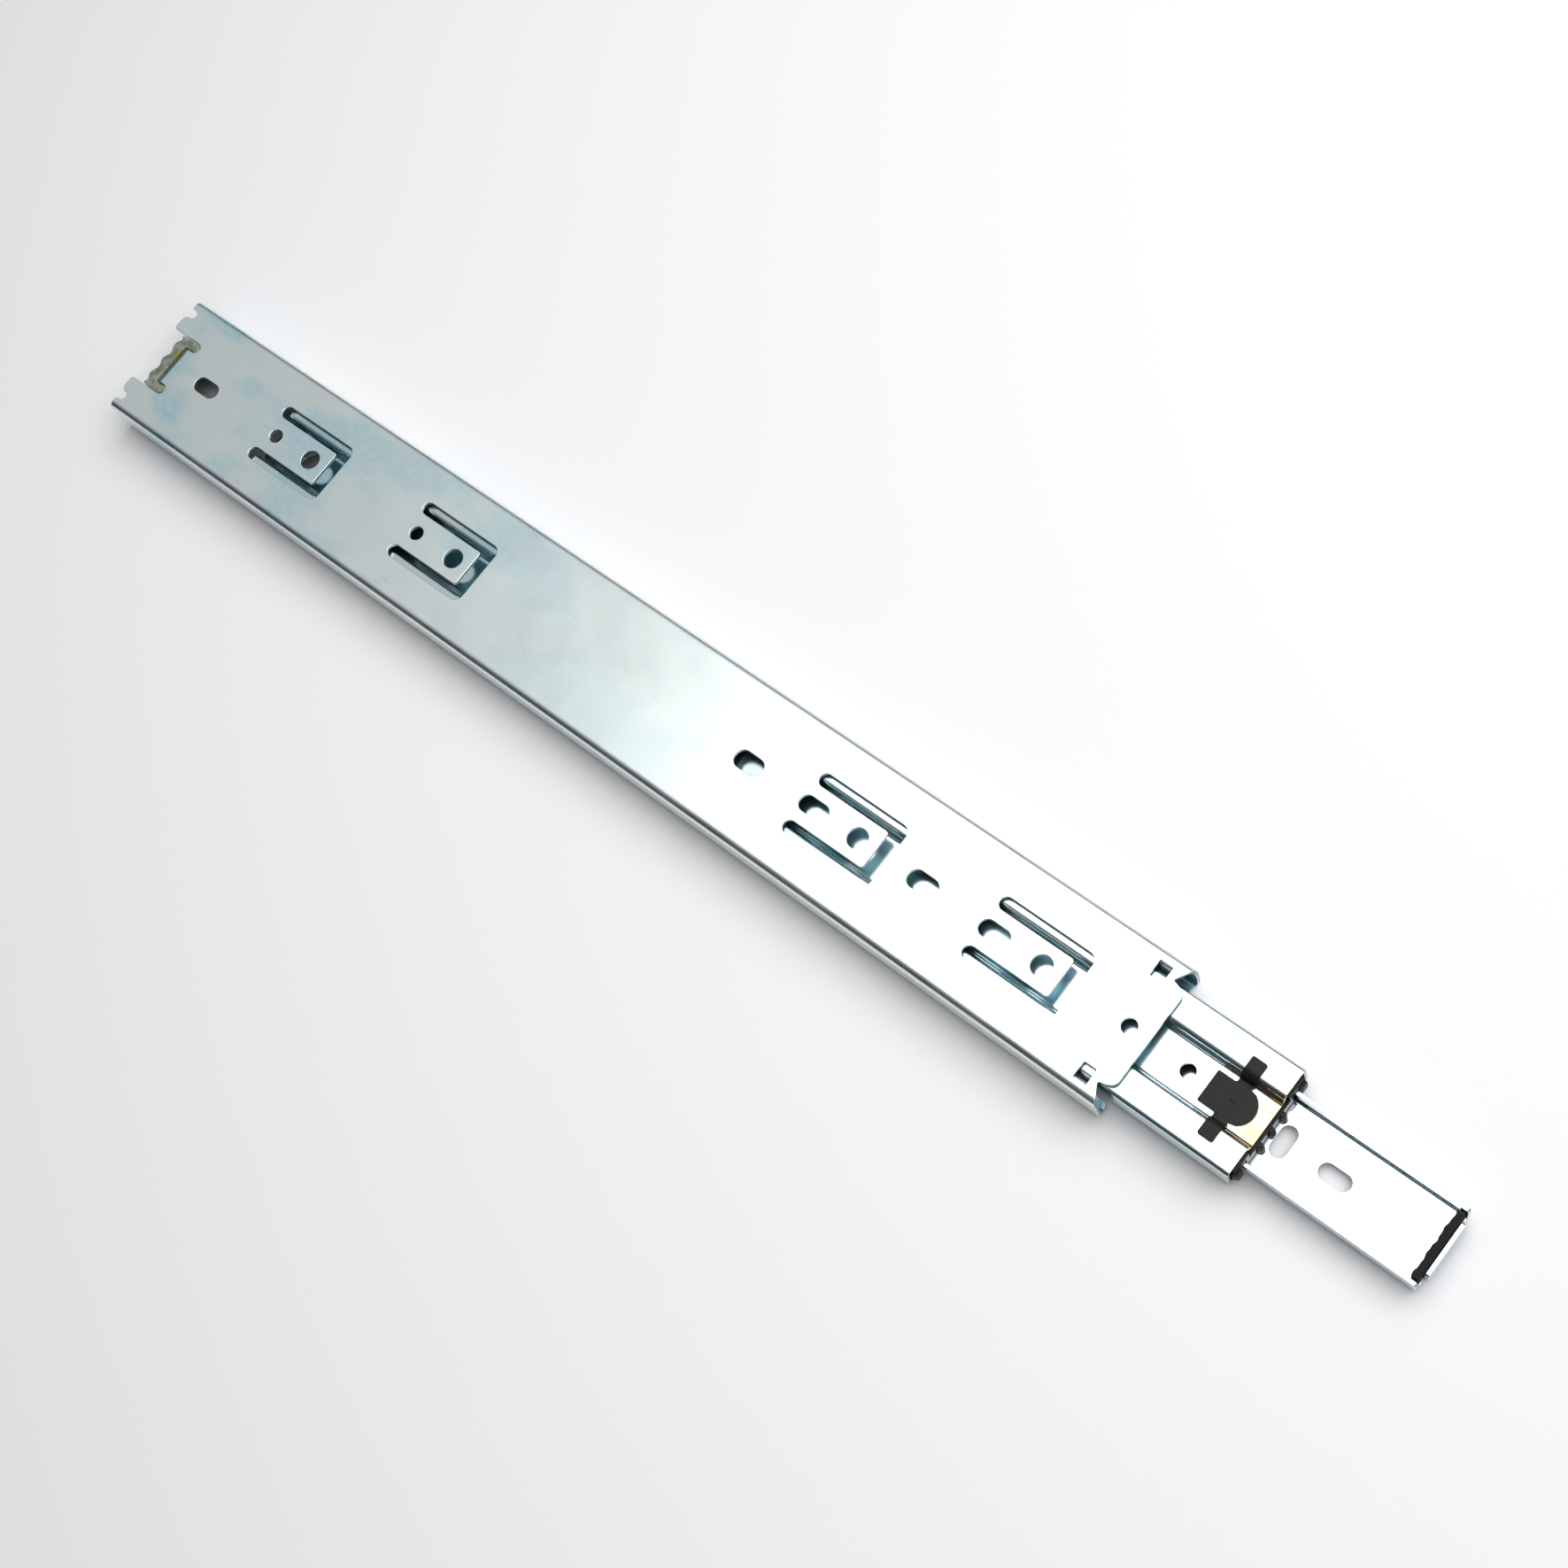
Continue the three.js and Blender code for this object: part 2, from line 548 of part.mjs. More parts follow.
const intermediateHalfPath = [
  [0, floorTop - sheetI, 0],
  [recessCorner, floorTop - sheetI, RECESS_BEND],
  [recessCorner + RECESS_SLOPE, ridgeTop - sheetI, RIDGE_BEND],
  [intermediateHalf - sheetI, ridgeTop - sheetI, middle(INTERMEDIATE_BEND, INTERMEDIATE_SHEET)],
  [intermediateHalf - sheetI, intermediateLipZ + sheetI, middle(INTERMEDIATE_BEND, INTERMEDIATE_SHEET)],
  [intermediateHalf - INTERMEDIATE_LIP_REACH, intermediateLipZ + sheetI, 0],
];

function makeIntermediateMember() {
  const outline = band(mirrored(intermediateHalfPath), -sheetI, sheetI);
  let body = drawnAlongX(outline, intermediateRear, intermediateFront);
  for (const side of both) {
    const outside = side * (intermediateHalf - GROOVE_DEPTH + grooveRadius);
    const inside = side * (intermediateHalf - INTERMEDIATE_SHEET + GROOVE_DEPTH - grooveRadius);
    for (const [y, depth] of [[outside, OUTER_BALL_DEPTH], [inside, innerBallDepth]])
      body = body.subtract(rodAlongX(y, -depth, grooveRadius, intermediateRear - 1, intermediateFront + 1, 48));
  }
  const drill = (d, size) =>
    (body = body.subtract(
      post(intermediateFront - d, 0, size / 2, floorUnder - OVERCUT, floorTop + OVERCUT),
    ));
  for (const d of INTERMEDIATE_HOLES) drill(d, INTERMEDIATE_HOLE);
  drill(ACCESS_HOLE_AT, ACCESS_HOLE);
  return body;
}

finish("intermediate_member", makeIntermediateMember(), ZINC);

// ---------- stop clip ----------

function makeStopClip() {
  const front = intermediateFront - CLIP_FRONT;
  const armX = intermediateFront - CLIP_ARM_CENTRE;
  const back = intermediateFront - CLIP_BACK;
  const low = sheetI + CLIP_GAP;
  const sheet = band(mirrored(intermediateHalfPath.slice(0, 5)), low, low + CLIP_SHEET);
  const nose = Math.asin(0.94);
  const plan = new THREE.Shape();
  plan.moveTo(back, -CLIP_HALF);
  plan.lineTo(armX - CLIP_ARM_WIDTH / 2, -CLIP_HALF);
  plan.lineTo(armX - CLIP_ARM_WIDTH / 2, -CLIP_ARM_REACH);
  plan.lineTo(armX + CLIP_ARM_WIDTH / 2, -CLIP_ARM_REACH);
  plan.absarc(front - CLIP_NOSE, 0, CLIP_NOSE, -nose, nose, false);
  plan.lineTo(armX + CLIP_ARM_WIDTH / 2, CLIP_ARM_REACH);
  plan.lineTo(armX - CLIP_ARM_WIDTH / 2, CLIP_ARM_REACH);
  plan.lineTo(armX - CLIP_ARM_WIDTH / 2, CLIP_HALF);
  plan.lineTo(back, CLIP_HALF);
  return drawnAlongX(sheet, back - 1, front + 1).intersect(raised(plan, floorUnder, 0));
}

finish("stop_clip", makeStopClip(), BLACK_PLASTIC);

// ---------- front bumper ----------

function makeFrontBumper() {
  const top = floorUnder - FIT_GAP;
  const bottom = drawerWebTop + 0.6;
  const roof = ridgeUnder - FIT_GAP;
  const overRim = rimZ + 0.7;
  const lugOut = intermediateHalf - INTERMEDIATE_SHEET - GROOVE_DEPTH - FIT_GAP;
  const lugIn = drawerHalf + SLIDE_CLEARANCE;
  const lugLow = intermediateLipZ + INTERMEDIATE_SHEET + 0.4;
  const half = [
    [0, bottom], [uprightOut, bottom], [uprightOut, overRim], [lugIn, overRim], [lugIn, lugLow],
    [lugOut, lugLow], [lugOut, roof - 0.8], [lugOut - 0.8, roof], [uprightIn, roof], [uprightIn, top], [0, top],
  ];
  const outline = polygon([...half.slice(1, -1), ...half.slice(1, -1).reverse().map(([y, z]) => [-y, z])]);
  const front = intermediateFront + BUMPER_FRONT;
  let body = drawnAlongX(outline, bumperBack, front);
  for (const i of [-1, 0, 1]) {
    const x = intermediateFront + BUMP_OUT - BUMP_RADIUS;
    body = body.add(post(x, i * BUMP_PITCH, BUMP_RADIUS, bottom + 0.3, top - 0.2, 16));
  }
  for (const side of both) {
    const [a, b] = [side * (lugIn + 0.3), side * (lugOut - 0.3)].sort((p, q) => p - q);
    body = body.add(box(front - 1, intermediateFront + LUG_OUT, a, b, lugLow + 0.5, overRim - 0.4));
  }
  return body;
}

finish("front_bumper", makeFrontBumper(), BLACK_PLASTIC);

// ---------- drawer member ----------

const leverPivotX = leverFront - LEVER_LENGTH + LEVER_PIVOT;

function makeDrawerMember() {
  const sheetD = DRAWER_SHEET / 2;
  const webMiddle = -(SLIDE_DEPTH - sheetD);
  const path = mirrored([
    [0, webMiddle, 0],
    [drawerHalf - sheetD, webMiddle, middle(DRAWER_BEND, DRAWER_SHEET)],
    [drawerHalf - sheetD, rimZ, 0],
  ]);
  let body = drawnAlongX(band(path, -sheetD, sheetD), drawerRear, drawerFront);
  const endPath = [
    [drawerFront - 4, webMiddle, 0],
    [drawerFront + sheetD, webMiddle, middle(DRAWER_BEND, DRAWER_SHEET)],
    [drawerFront + sheetD, -SLIDE_DEPTH + END_TAB_DRAWER_RISE, 0],
  ];
  body = body.add(drawnAlongY(band(endPath, -sheetD, sheetD), 2 * END_TAB_DRAWER_HALF));
  const through = [-SLIDE_DEPTH - OVERCUT, drawerWebTop + OVERCUT];
  const cut = (shape) => (body = body.subtract(raised(shape, ...through)));
  cut(slotShape(drawerFront - CROSS_SLOT, 0, DRAWER_SLOT_LENGTH, DRAWER_SLOT_WIDTH, true));
  for (const d of LONG_SLOTS) cut(slotShape(drawerFront - d, 0, DRAWER_SLOT_LENGTH, DRAWER_SLOT_WIDTH));
  for (const d of DRAWER_HOLES) body = body.subtract(post(drawerFront - d, 0, DRAWER_HOLE / 2, ...through));
  body = body.subtract(post(leverPivotX, 0, RIVET_RADIUS + FIT_GAP, ...through));
  for (const side of both) {
    const y = side * (drawerHalf - GROOVE_DEPTH + grooveRadius);
    body = body.subtract(rodAlongX(y, -innerBallDepth, grooveRadius, drawerRear - 1, drawerFront + 1, 48));
  }
  return body;
}

finish("drawer_member", makeDrawerMember(), ZINC);

// A rubber strip across the drawer member, behind its folded-up end tab.
function makeEndStrip() {
  const half = drawerHalf - DRAWER_BEND - 0.1;
  const front = stripBack + STRIP_LENGTH;
  const steps = 10;
  const outline = [[front, -half], [front, half]];
  for (let i = 0; i <= steps; i++) {
    const y = half - (2 * half * i) / steps;
    outline.push([stripBack + STRIP_WAVE * (1 - Math.cos((y / half) * 2 * Math.PI)), y]);
  }
  const base = drawerWebTop + FIT_GAP;
  return raised(polygon(outline), base, base + STRIP_RISE);
}

finish("drawer_end_bumper", makeEndStrip(), RUBBER);

// ---------- release lever ----------

const leverBase = drawerWebTop + FIT_GAP;
const leverTop = leverBase + LEVER_THICKNESS;

function makeReleaseLever() {
  const rear = leverFront - LEVER_LENGTH;
  const s = new THREE.Shape();
  s.absarc(rear + LEVER_HUB, 0, LEVER_HUB, Math.PI / 2, (3 * Math.PI) / 2, false);
  s.lineTo(leverPivotX, -LEVER_HUB);
  s.bezierCurveTo(leverPivotX + 8, -LEVER_HUB, leverPivotX + 8, -LEVER_ARM, leverPivotX + 16, -LEVER_ARM);
  s.lineTo(leverFront, -LEVER_ARM);
  s.lineTo(leverFront, LEVER_ARM);
  s.lineTo(leverPivotX + 16, LEVER_ARM);
  s.bezierCurveTo(leverPivotX + 8, LEVER_ARM, leverPivotX + 8, LEVER_HUB, leverPivotX, LEVER_HUB);
  let body = raised(s, leverBase, leverTop);
  body = body.subtract(post(leverPivotX, 0, RIVET_RADIUS + FIT_GAP, leverBase - 1, leverTop + 1));
  // A slit down the arm leaves a thin leg that springs the lever back
  const slit = slotShape(leverPivotX + 22, LEVER_ARM - 1.7, 24, 1);
  return body.subtract(raised(slit, leverBase - 1, leverTop + 1));
}

finish("release_lever", makeReleaseLever(), BLACK_PLASTIC);

function makeLeverRivet() {
  const headBase = leverTop + 0.1;
  const shank = post(leverPivotX, 0, RIVET_RADIUS, -SLIDE_DEPTH, headBase + 0.1);
  return shank.add(post(leverPivotX, 0, RIVET_HEAD, headBase, headBase + RIVET_HEAD_THICKNESS));
}

finish("lever_rivet", makeLeverRivet(), STEEL);

// ---------- ball cages ----------

const ballPitch = CAGE_LENGTH / BALLS_PER_ROW;
// Two rails with pockets for the balls, joined by two bridges of the given outline in Y and Z.
function makeCage(front, railY, ballDepth, bridgeOutline, railTop) {
  const rear = front - CAGE_LENGTH;
  let body;
  for (const side of both) {
    const [a, b] = [side * (railY - CAGE_SHEET / 2), side * (railY + CAGE_SHEET / 2)].sort((p, q) => p - q);
    let rail = box(rear, front, a, b, -ballDepth - pocketRadius - RAIL_MARGIN, railTop);
    for (let i = 0; i < BALLS_PER_ROW; i++) {
      const g = new THREE.CylinderGeometry(pocketRadius, pocketRadius, 2 * CAGE_SHEET, 12);
      rail = rail.subtract(toSolid(g.translate(rear + (i + 0.5) * ballPitch, side * railY, -ballDepth)));
    }
    body = body ? body.add(rail) : rail;
  }
  for (const x of [rear + BRIDGE_INSET, front - BRIDGE_INSET])
    body = body.add(drawnAlongX(bridgeOutline, x - BRIDGE_WIDTH / 2, x + BRIDGE_WIDTH / 2));
  return body;
}

const outerBridgeZ = -(CABINET_SHEET + RIDGE_GAP / 2);
const outerBridge = band(
  [[-outerBallY, outerBridgeZ, 0], [outerBallY, outerBridgeZ, 0]],
  -BRIDGE_SHEET / 2,
  BRIDGE_SHEET / 2,
);
finish(
  "outer_cage",
  makeCage(outerCageFront, outerBallY, OUTER_BALL_DEPTH, outerBridge, outerBridgeZ + BRIDGE_SHEET / 2),
  STEEL,
);

// The inner cage's bridges step over the drawer member's rims and down under the recess floor.
const innerBridgeTop = (ridgeUnder + rimZ) / 2;
const innerBridgeLow = floorUnder - FIT_GAP - BRIDGE_SHEET / 2;
const innerBridgeDrop = drawerHalf - DRAWER_SHEET - 0.9;
const innerBridge = band(
  mirrored([
    [0, innerBridgeLow, 0],
    [innerBridgeDrop, innerBridgeLow, 0.4],
    [innerBridgeDrop, innerBridgeTop, 0.4],
    [innerBallY, innerBridgeTop, 0],
  ]),
  -BRIDGE_SHEET / 2,
  BRIDGE_SHEET / 2,
);
finish(
  "inner_cage",
  makeCage(innerCageFront, innerBallY, innerBallDepth, innerBridge, innerBridgeTop + BRIDGE_SHEET / 2),
  STEEL,
);

// ---------- balls ----------

const rows = [
  ["outer", outerCageFront, outerBallY, OUTER_BALL_DEPTH],
  ["inner", innerCageFront, innerBallY, innerBallDepth],
];
for (const [stage, front, y, depth] of rows)
  for (const side of both)
    for (let i = 0; i < BALLS_PER_ROW; i++) {
      const geometry = new THREE.IcosahedronGeometry(BALL_DIAMETER / 2, 1);
      const ball = new THREE.Mesh(geometry, new THREE.MeshStandardMaterial(BALL));
      ball.name = `${stage}_ball_${side > 0 ? "left" : "right"}_${String(i + 1).padStart(2, "0")}`;
      ball.position.set(front - CAGE_LENGTH + (i + 0.5) * ballPitch, side * y, -depth);
      group.add(ball);
    }

export default group;
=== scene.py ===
# %% [markdown]
# # A ball-bearing drawer slide, as a lesson in sheet metal
# The slide is three folded steel sections that run in one another on two ball cages.
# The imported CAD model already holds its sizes, places and motion, so it is loaded as a fixed
# frame and every piece made here is built in the same frame and carried by one of its bodies.

# %% Load the frame
import math

import bmesh
import bpy
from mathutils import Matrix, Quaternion, Vector


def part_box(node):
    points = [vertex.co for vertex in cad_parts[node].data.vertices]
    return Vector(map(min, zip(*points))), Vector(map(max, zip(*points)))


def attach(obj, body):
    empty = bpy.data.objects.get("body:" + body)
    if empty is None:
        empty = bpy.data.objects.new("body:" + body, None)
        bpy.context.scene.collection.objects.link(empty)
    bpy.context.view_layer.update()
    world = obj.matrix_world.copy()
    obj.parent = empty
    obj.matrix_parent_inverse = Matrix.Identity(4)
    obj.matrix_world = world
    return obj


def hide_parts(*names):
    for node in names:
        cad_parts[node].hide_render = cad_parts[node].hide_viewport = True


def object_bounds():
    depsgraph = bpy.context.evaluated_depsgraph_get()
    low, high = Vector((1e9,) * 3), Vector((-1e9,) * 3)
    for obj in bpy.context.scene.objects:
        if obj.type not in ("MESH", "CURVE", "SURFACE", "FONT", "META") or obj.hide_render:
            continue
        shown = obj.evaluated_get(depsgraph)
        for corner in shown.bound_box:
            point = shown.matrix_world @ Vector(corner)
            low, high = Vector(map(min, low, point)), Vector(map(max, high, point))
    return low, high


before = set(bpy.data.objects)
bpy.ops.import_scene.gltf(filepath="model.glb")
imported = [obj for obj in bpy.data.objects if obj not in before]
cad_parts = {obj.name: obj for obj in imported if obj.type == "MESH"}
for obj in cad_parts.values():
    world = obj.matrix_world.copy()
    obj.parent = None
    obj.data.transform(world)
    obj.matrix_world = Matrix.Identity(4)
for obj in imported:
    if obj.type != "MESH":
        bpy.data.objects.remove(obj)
cad_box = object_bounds()
scene = bpy.context.scene
MM = 0.001
CAD = {name: [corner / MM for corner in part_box(name)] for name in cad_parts}

# %% [markdown]
# The camera stands high over the slide's front corner and is rolled, so that the slide runs
# across the picture from corner to corner. It aims at a point on the cabinet member's back face.

# %% Camera
CAMERA_AIM = Vector((0.0714, 0.0008, 0.0))
CAMERA_DISTANCE = 0.6808
CAMERA_AZIMUTH = math.radians(69.13)
CAMERA_ELEVATION = math.radians(64.82)
CAMERA_ROLL = math.radians(-32.52)
CAMERA_LENS = 55.49
CAMERA_SENSOR = 36.0


def make_camera():
    data = bpy.data.cameras.new("camera")
    data.lens = CAMERA_LENS
    data.sensor_width = CAMERA_SENSOR
    data.clip_start = 0.01
    camera = bpy.data.objects.new("camera", data)
    scene.collection.objects.link(camera)
    level = math.cos(CAMERA_ELEVATION)
    back = Vector((
        math.sin(CAMERA_AZIMUTH) * level,
        -math.cos(CAMERA_AZIMUTH) * level,
        math.sin(CAMERA_ELEVATION),
    ))
    camera.location = CAMERA_AIM + back * CAMERA_DISTANCE
    camera.rotation_mode = "QUATERNION"
    upright = (-back).to_track_quat("-Z", "Y")
    camera.rotation_quaternion = upright @ Quaternion((0, 0, 1), CAMERA_ROLL)
    return camera


scene.camera = make_camera()
print("camera at", [round(c, 3) for c in scene.camera.location])

# %% [markdown]
# Polished and plated metal shows its surroundings more than itself, so the light is set by what
# the metal should mirror. One wide soft box hangs over the front half and to the far side: the
# front of the slide mirrors it and goes white, and the shadow falls on the near side. The rear
# mirrors the dimmer room beyond the box and stays grey. The room darkens towards the horizon,
# so every bend and wall has a dark edge. A small lamp near the camera puts bright lines on the
# bends and lights the table under the holes. The standard view transform keeps the pale floor clean.

# %% Soft boxes
SOFT_BOXES = {
    "soft_box": {"at": (0.30, 0.56, 0.85), "size": 1.2, "watts": 11.0},
    "lamp_over_the_shoulder": {"at": (0.25, -0.17, 0.95), "size": 0.3, "watts": 1.2},
}


def make_soft_box(name, at, size, watts):
    data = bpy.data.lights.new(name, "AREA")
    data.shape = "SQUARE"
    data.size = size
    data.energy = watts
    light = bpy.data.objects.new(name, data)
    light.location = at
    scene.collection.objects.link(light)
    print(name, "radiance:", round(watts / (4 * size * size), 2))
    return light


for light_name, light in SOFT_BOXES.items():
    make_soft_box(light_name, **light)
scene.view_settings.view_transform = "Standard"

# %% Room: bright overhead, dark at the horizon and on the near side
ROOM_STOPS = [(0.02, 0.03), (0.30, 0.20), (0.55, 0.68), (0.80, 0.82)]
ROOM_TINT = (0.93, 0.99, 1.0)
ROOM_SIDES = {"X": (-1.0, 1.0, 0.68, 1.32), "Y": (-0.65, 0.10, 0.14, 1.0)}


def make_room():
    world = bpy.data.worlds.new("room")
    world.use_nodes = True
    tree = world.node_tree
    place = tree.nodes.new("ShaderNodeTexCoord").outputs["Generated"]
    split = tree.nodes.new("ShaderNodeSeparateXYZ")
    tree.links.new(place, split.inputs["Vector"])
    height = tree.nodes.new("ShaderNodeValToRGB")
    stops = height.color_ramp.elements
    while len(stops) < len(ROOM_STOPS):
        stops.new(0.5)
    for stop, (position, level) in zip(stops, ROOM_STOPS):
        stop.position = position
        stop.color = (level * ROOM_TINT[0], level * ROOM_TINT[1], level * ROOM_TINT[2], 1)
    tree.links.new(split.outputs["Z"], height.inputs["Fac"])
    both = tree.nodes.new("ShaderNodeMath")
    both.operation = "MULTIPLY"
    for socket, (axis, (near, far, low, high)) in zip(both.inputs, ROOM_SIDES.items()):
        side = tree.nodes.new("ShaderNodeMapRange")
        side.interpolation_type = "SMOOTHSTEP"
        side.inputs["From Min"].default_value = near
        side.inputs["From Max"].default_value = far
        side.inputs["To Min"].default_value = low
        side.inputs["To Max"].default_value = high
        tree.links.new(split.outputs[axis], side.inputs["Value"])
        tree.links.new(side.outputs["Result"], socket)
    background = tree.nodes["Background"]
    tree.links.new(height.outputs["Color"], background.inputs["Color"])
    tree.links.new(both.outputs["Value"], background.inputs["Strength"])
    return world


scene.world = make_room()
print("room levels:", ROOM_STOPS)

# %% [markdown]
# The floor is a plain pale sheet just under the slide's lowest point. It is a stage, not part of
# the object, so it rides on nothing.

# %% Floor
FLOOR_HALF = 3.0
FLOOR_DROP = 0.002
FLOOR_COLOUR = (0.77, 0.757, 0.768, 1)


def make_floor():
    half = FLOOR_HALF
    corners = [(-half, -half), (half, -half), (half, half), (-half, half)]
    level = cad_box[0].z - FLOOR_DROP
    bm = bmesh.new()
    bm.faces.new([bm.verts.new((x, y, level)) for x, y in corners])
    mesh = bpy.data.meshes.new("floor")
    bm.to_mesh(mesh)
    bm.free()
    floor = bpy.data.objects.new("floor", mesh)
    scene.collection.objects.link(floor)
    material = bpy.data.materials.new("pale_floor")
    material.use_nodes = True
    shader = material.node_tree.nodes["Principled BSDF"]
    shader.inputs["Base Color"].default_value = FLOOR_COLOUR
    shader.inputs["Roughness"].default_value = 0.75
    shader.inputs["Specular IOR Level"].default_value = 0.2
    mesh.materials.append(material)
    return floor


make_floor()

# %% [markdown]
# Every steel section starts as a flat blank, as it does in the press shop: an outline with its
# holes and slots is cut from sheet, its edges are slightly rounded by the punch, and then it is
# folded. In Blender a 2D curve does the cutting. It fills an outline, leaves the holes open,
# gives the sheet its thickness and rolls its edges over. Blanks are drawn in millimetres,
# because the curve's fill works best at that scale. Each point also remembers how far it lies
# down the cut edge, from 0 on the sheet's face to 1 on the wall, and whether it is on the
# sheet's back, so that a finish can find the rims and walls of every hole later on.

# %% Outline helpers
ARC_STEP = math.radians(15)


def arc(cx, cy, radius, start, end):
    """Points on an arc, from start to end in degrees."""
    a, b = math.radians(start), math.radians(end)
    steps = max(2, math.ceil(abs(b - a) / ARC_STEP))
    angles = [a + (b - a) * i / steps for i in range(steps + 1)]
    return [(cx + radius * math.cos(t), cy + radius * math.sin(t)) for t in angles]


def bezier(p, q, r, s, steps=6):
    """Points on a cubic curve after its start p."""
    points = []
    for i in range(1, steps + 1):
        t = i / steps
        u = 1 - t
        weights = (u**3, 3 * u * u * t, 3 * u * t * t, t**3)
        points.append(tuple(sum(w * k[j] for w, k in zip(weights, (p, q, r, s))) for j in (0, 1)))
    return points


def hole(x, y, diameter):
    return arc(x, y, diameter / 2, 0, 345)


def slot(x, y, length, width, across=False):
    """An oblong hole, along X unless across."""
    r = width / 2
    run = length / 2 - r
    ends = arc(run, 0, r, -90, 90) + arc(-run, 0, r, 90, 270)
    return [(x - v, y + u) if across else (x + u, y + v) for u, v in ends]


def mirrored(half):
    """A closed outline from its half with Y above 0, drawn from the front to the rear."""
    return half + [(x, -y) for x, y in reversed(half) if y > 0]


# %% Cut a flat blank
EDGE_ROLL = 0.1
WELD = 1e-3
CUT_EDGE = "cut_edge"
BACK_FACE = "back_face"


def cut_blank(outline, holes, thickness, edge=EDGE_ROLL, rounds=2):
    """A flat blank in X and Y, its middle at Z 0, with rolled edges, as a bmesh."""
    curve = bpy.data.curves.new("blank", "CURVE")
    curve.dimensions = "2D"
    curve.fill_mode = "BOTH"
    curve.extrude = thickness / 2 - edge
    curve.bevel_depth = edge
    curve.bevel_resolution = rounds
    curve.offset = -edge
    for loop in [outline, *holes]:
        spline = curve.splines.new("POLY")
        spline.points.add(len(loop) - 1)
        for point, (x, y) in zip(spline.points, loop):
            point.co = (x, y, 0, 1)
        spline.use_cyclic_u = True
    drawn = bpy.data.objects.new("blank", curve)
    scene.collection.objects.link(drawn)
    filled = drawn.evaluated_get(bpy.context.evaluated_depsgraph_get())
    mesh = bpy.data.meshes.new_from_object(filled)
    bpy.data.objects.remove(drawn)
    bm = bmesh.new()
    bm.from_mesh(mesh)
    bpy.data.meshes.remove(mesh)
    bmesh.ops.remove_doubles(bm, verts=bm.verts, dist=WELD)
    bmesh.ops.recalc_face_normals(bm, faces=bm.faces)
    cut = bm.verts.layers.float.new(CUT_EDGE)
    # The back-face value also lets the zinc finishes paint shade on each section's back.
    back = bm.verts.layers.float.new(BACK_FACE)
    for v in bm.verts:
        v[cut] = min(1.0, (thickness / 2 - abs(v.co.z)) / edge)
        v[back] = 0.5 - v.co.z / thickness
    if any(len(e.link_faces) != 2 for e in bm.edges):
        raise ValueError("the blank is not closed: its edge is rolled too wide for its corners")
    return bm


def score(bm, axis, stations):
    """Cuts the blank's faces at each station along an axis, so that it can fold there."""
    normal = Vector((axis == 0, axis == 1, axis == 2))
    for station in stations:
        geometry = bm.verts[:] + bm.edges[:] + bm.faces[:]
        bmesh.ops.bisect_plane(bm, geom=geometry, plane_co=normal * station, plane_no=normal, dist=1e-4)


SHARP_ANGLE = math.radians(40)


def to_piece(bm, name):
    """The bmesh, drawn in millimetres, as an object in metres with its flat faces kept flat."""
    bmesh.ops.scale(bm, vec=(MM, MM, MM), verts=bm.verts)
    bmesh.ops.recalc_face_normals(bm, faces=bm.faces)
    mesh = bpy.data.meshes.new(name)
    bm.to_mesh(mesh)
    bm.free()
    mesh.polygons.foreach_set("use_smooth", [True] * len(mesh.polygons))
    mesh.set_sharp_from_angle(angle=SHARP_ANGLE)
    piece = bpy.data.objects.new(name, mesh)
    scene.collection.objects.link(piece)
    weighted = piece.modifiers.new("flat_faces_stay_flat", "WEIGHTED_NORMAL")
    weighted.keep_sharp = True
    print(name, "faces:", len(mesh.polygons))
    return piece


# %% [markdown]
# A folded section is the same all along X, so folding is a map from the blank to space. The
# section's middle line is walked from the slide's centre line outwards: straight runs joined by
# arcs. A point of the blank keeps its X, its Y says how far along that line it goes, and its
# height above the blank's middle becomes the height above the line. This keeps the metal's
# thickness and length, and bends the holes' rolled edges with it.

# %% Fold a blank along a section
BEND_STEP = math.radians(11)


def section_runs(corners):
    """Straight and round runs of a section's middle line, from corners given as (y, z, bend radius)."""
    runs = []
    travelled = 0.0
    here = Vector(corners[0][:2])
    for i in range(1, len(corners)):
        corner = Vector(corners[i][:2])
        heading = (corner - Vector(corners[i - 1][:2])).normalized()
        turn = 0.0
        if i + 1 < len(corners):
            leaving = (Vector(corners[i + 1][:2]) - corner).normalized()
            turn = math.atan2(heading.cross(leaving), heading.dot(leaving))
        radius = corners[i][2]
        setback = radius * math.tan(abs(turn) / 2)
        angle = math.atan2(heading.y, heading.x)
        straight = (corner - here).length - setback
        runs.append((travelled, straight, here.copy(), angle, 0.0))
        travelled += straight
        if turn:
            bend = math.copysign(1 / radius, turn)
            runs.append((travelled, radius * abs(turn), corner - heading * setback, angle, bend))
            travelled += radius * abs(turn)
            here = corner + leaving * setback
    return runs


def run_length(runs):
    return runs[-1][0] + runs[-1][1]


def on_section(runs, s, height):
    """Where a point of the blank lands: s along the middle line and height above it."""
    side = -1 if s < 0 else 1
    s = abs(s)
    start, _, at, angle, bend = [run for run in runs if run[0] <= s + 1e-9 or run is runs[0]][-1]
    d = s - start
    if bend:
        turned = angle + bend * d
        y = at.x + (math.sin(turned) - math.sin(angle)) / bend
        z = at.y - (math.cos(turned) - math.cos(angle)) / bend
    else:
        turned = angle
        y = at.x + math.cos(angle) * d
        z = at.y + math.sin(angle) * d
    return side * (y - math.sin(turned) * height), z + math.cos(turned) * height


def bend_stations(runs):
    """Where a blank has to be scored to follow the section's bends, on both sides."""
    stations = set()
    for start, length, _, _, bend in runs:
        steps = max(1, math.ceil(length * abs(bend) / BEND_STEP))
        stations |= {start + length * i / steps for i in range(steps + 1)}
    inside = [s for s in stations if WELD < s < run_length(runs) - WELD]
    return sorted([-s for s in inside] + inside)


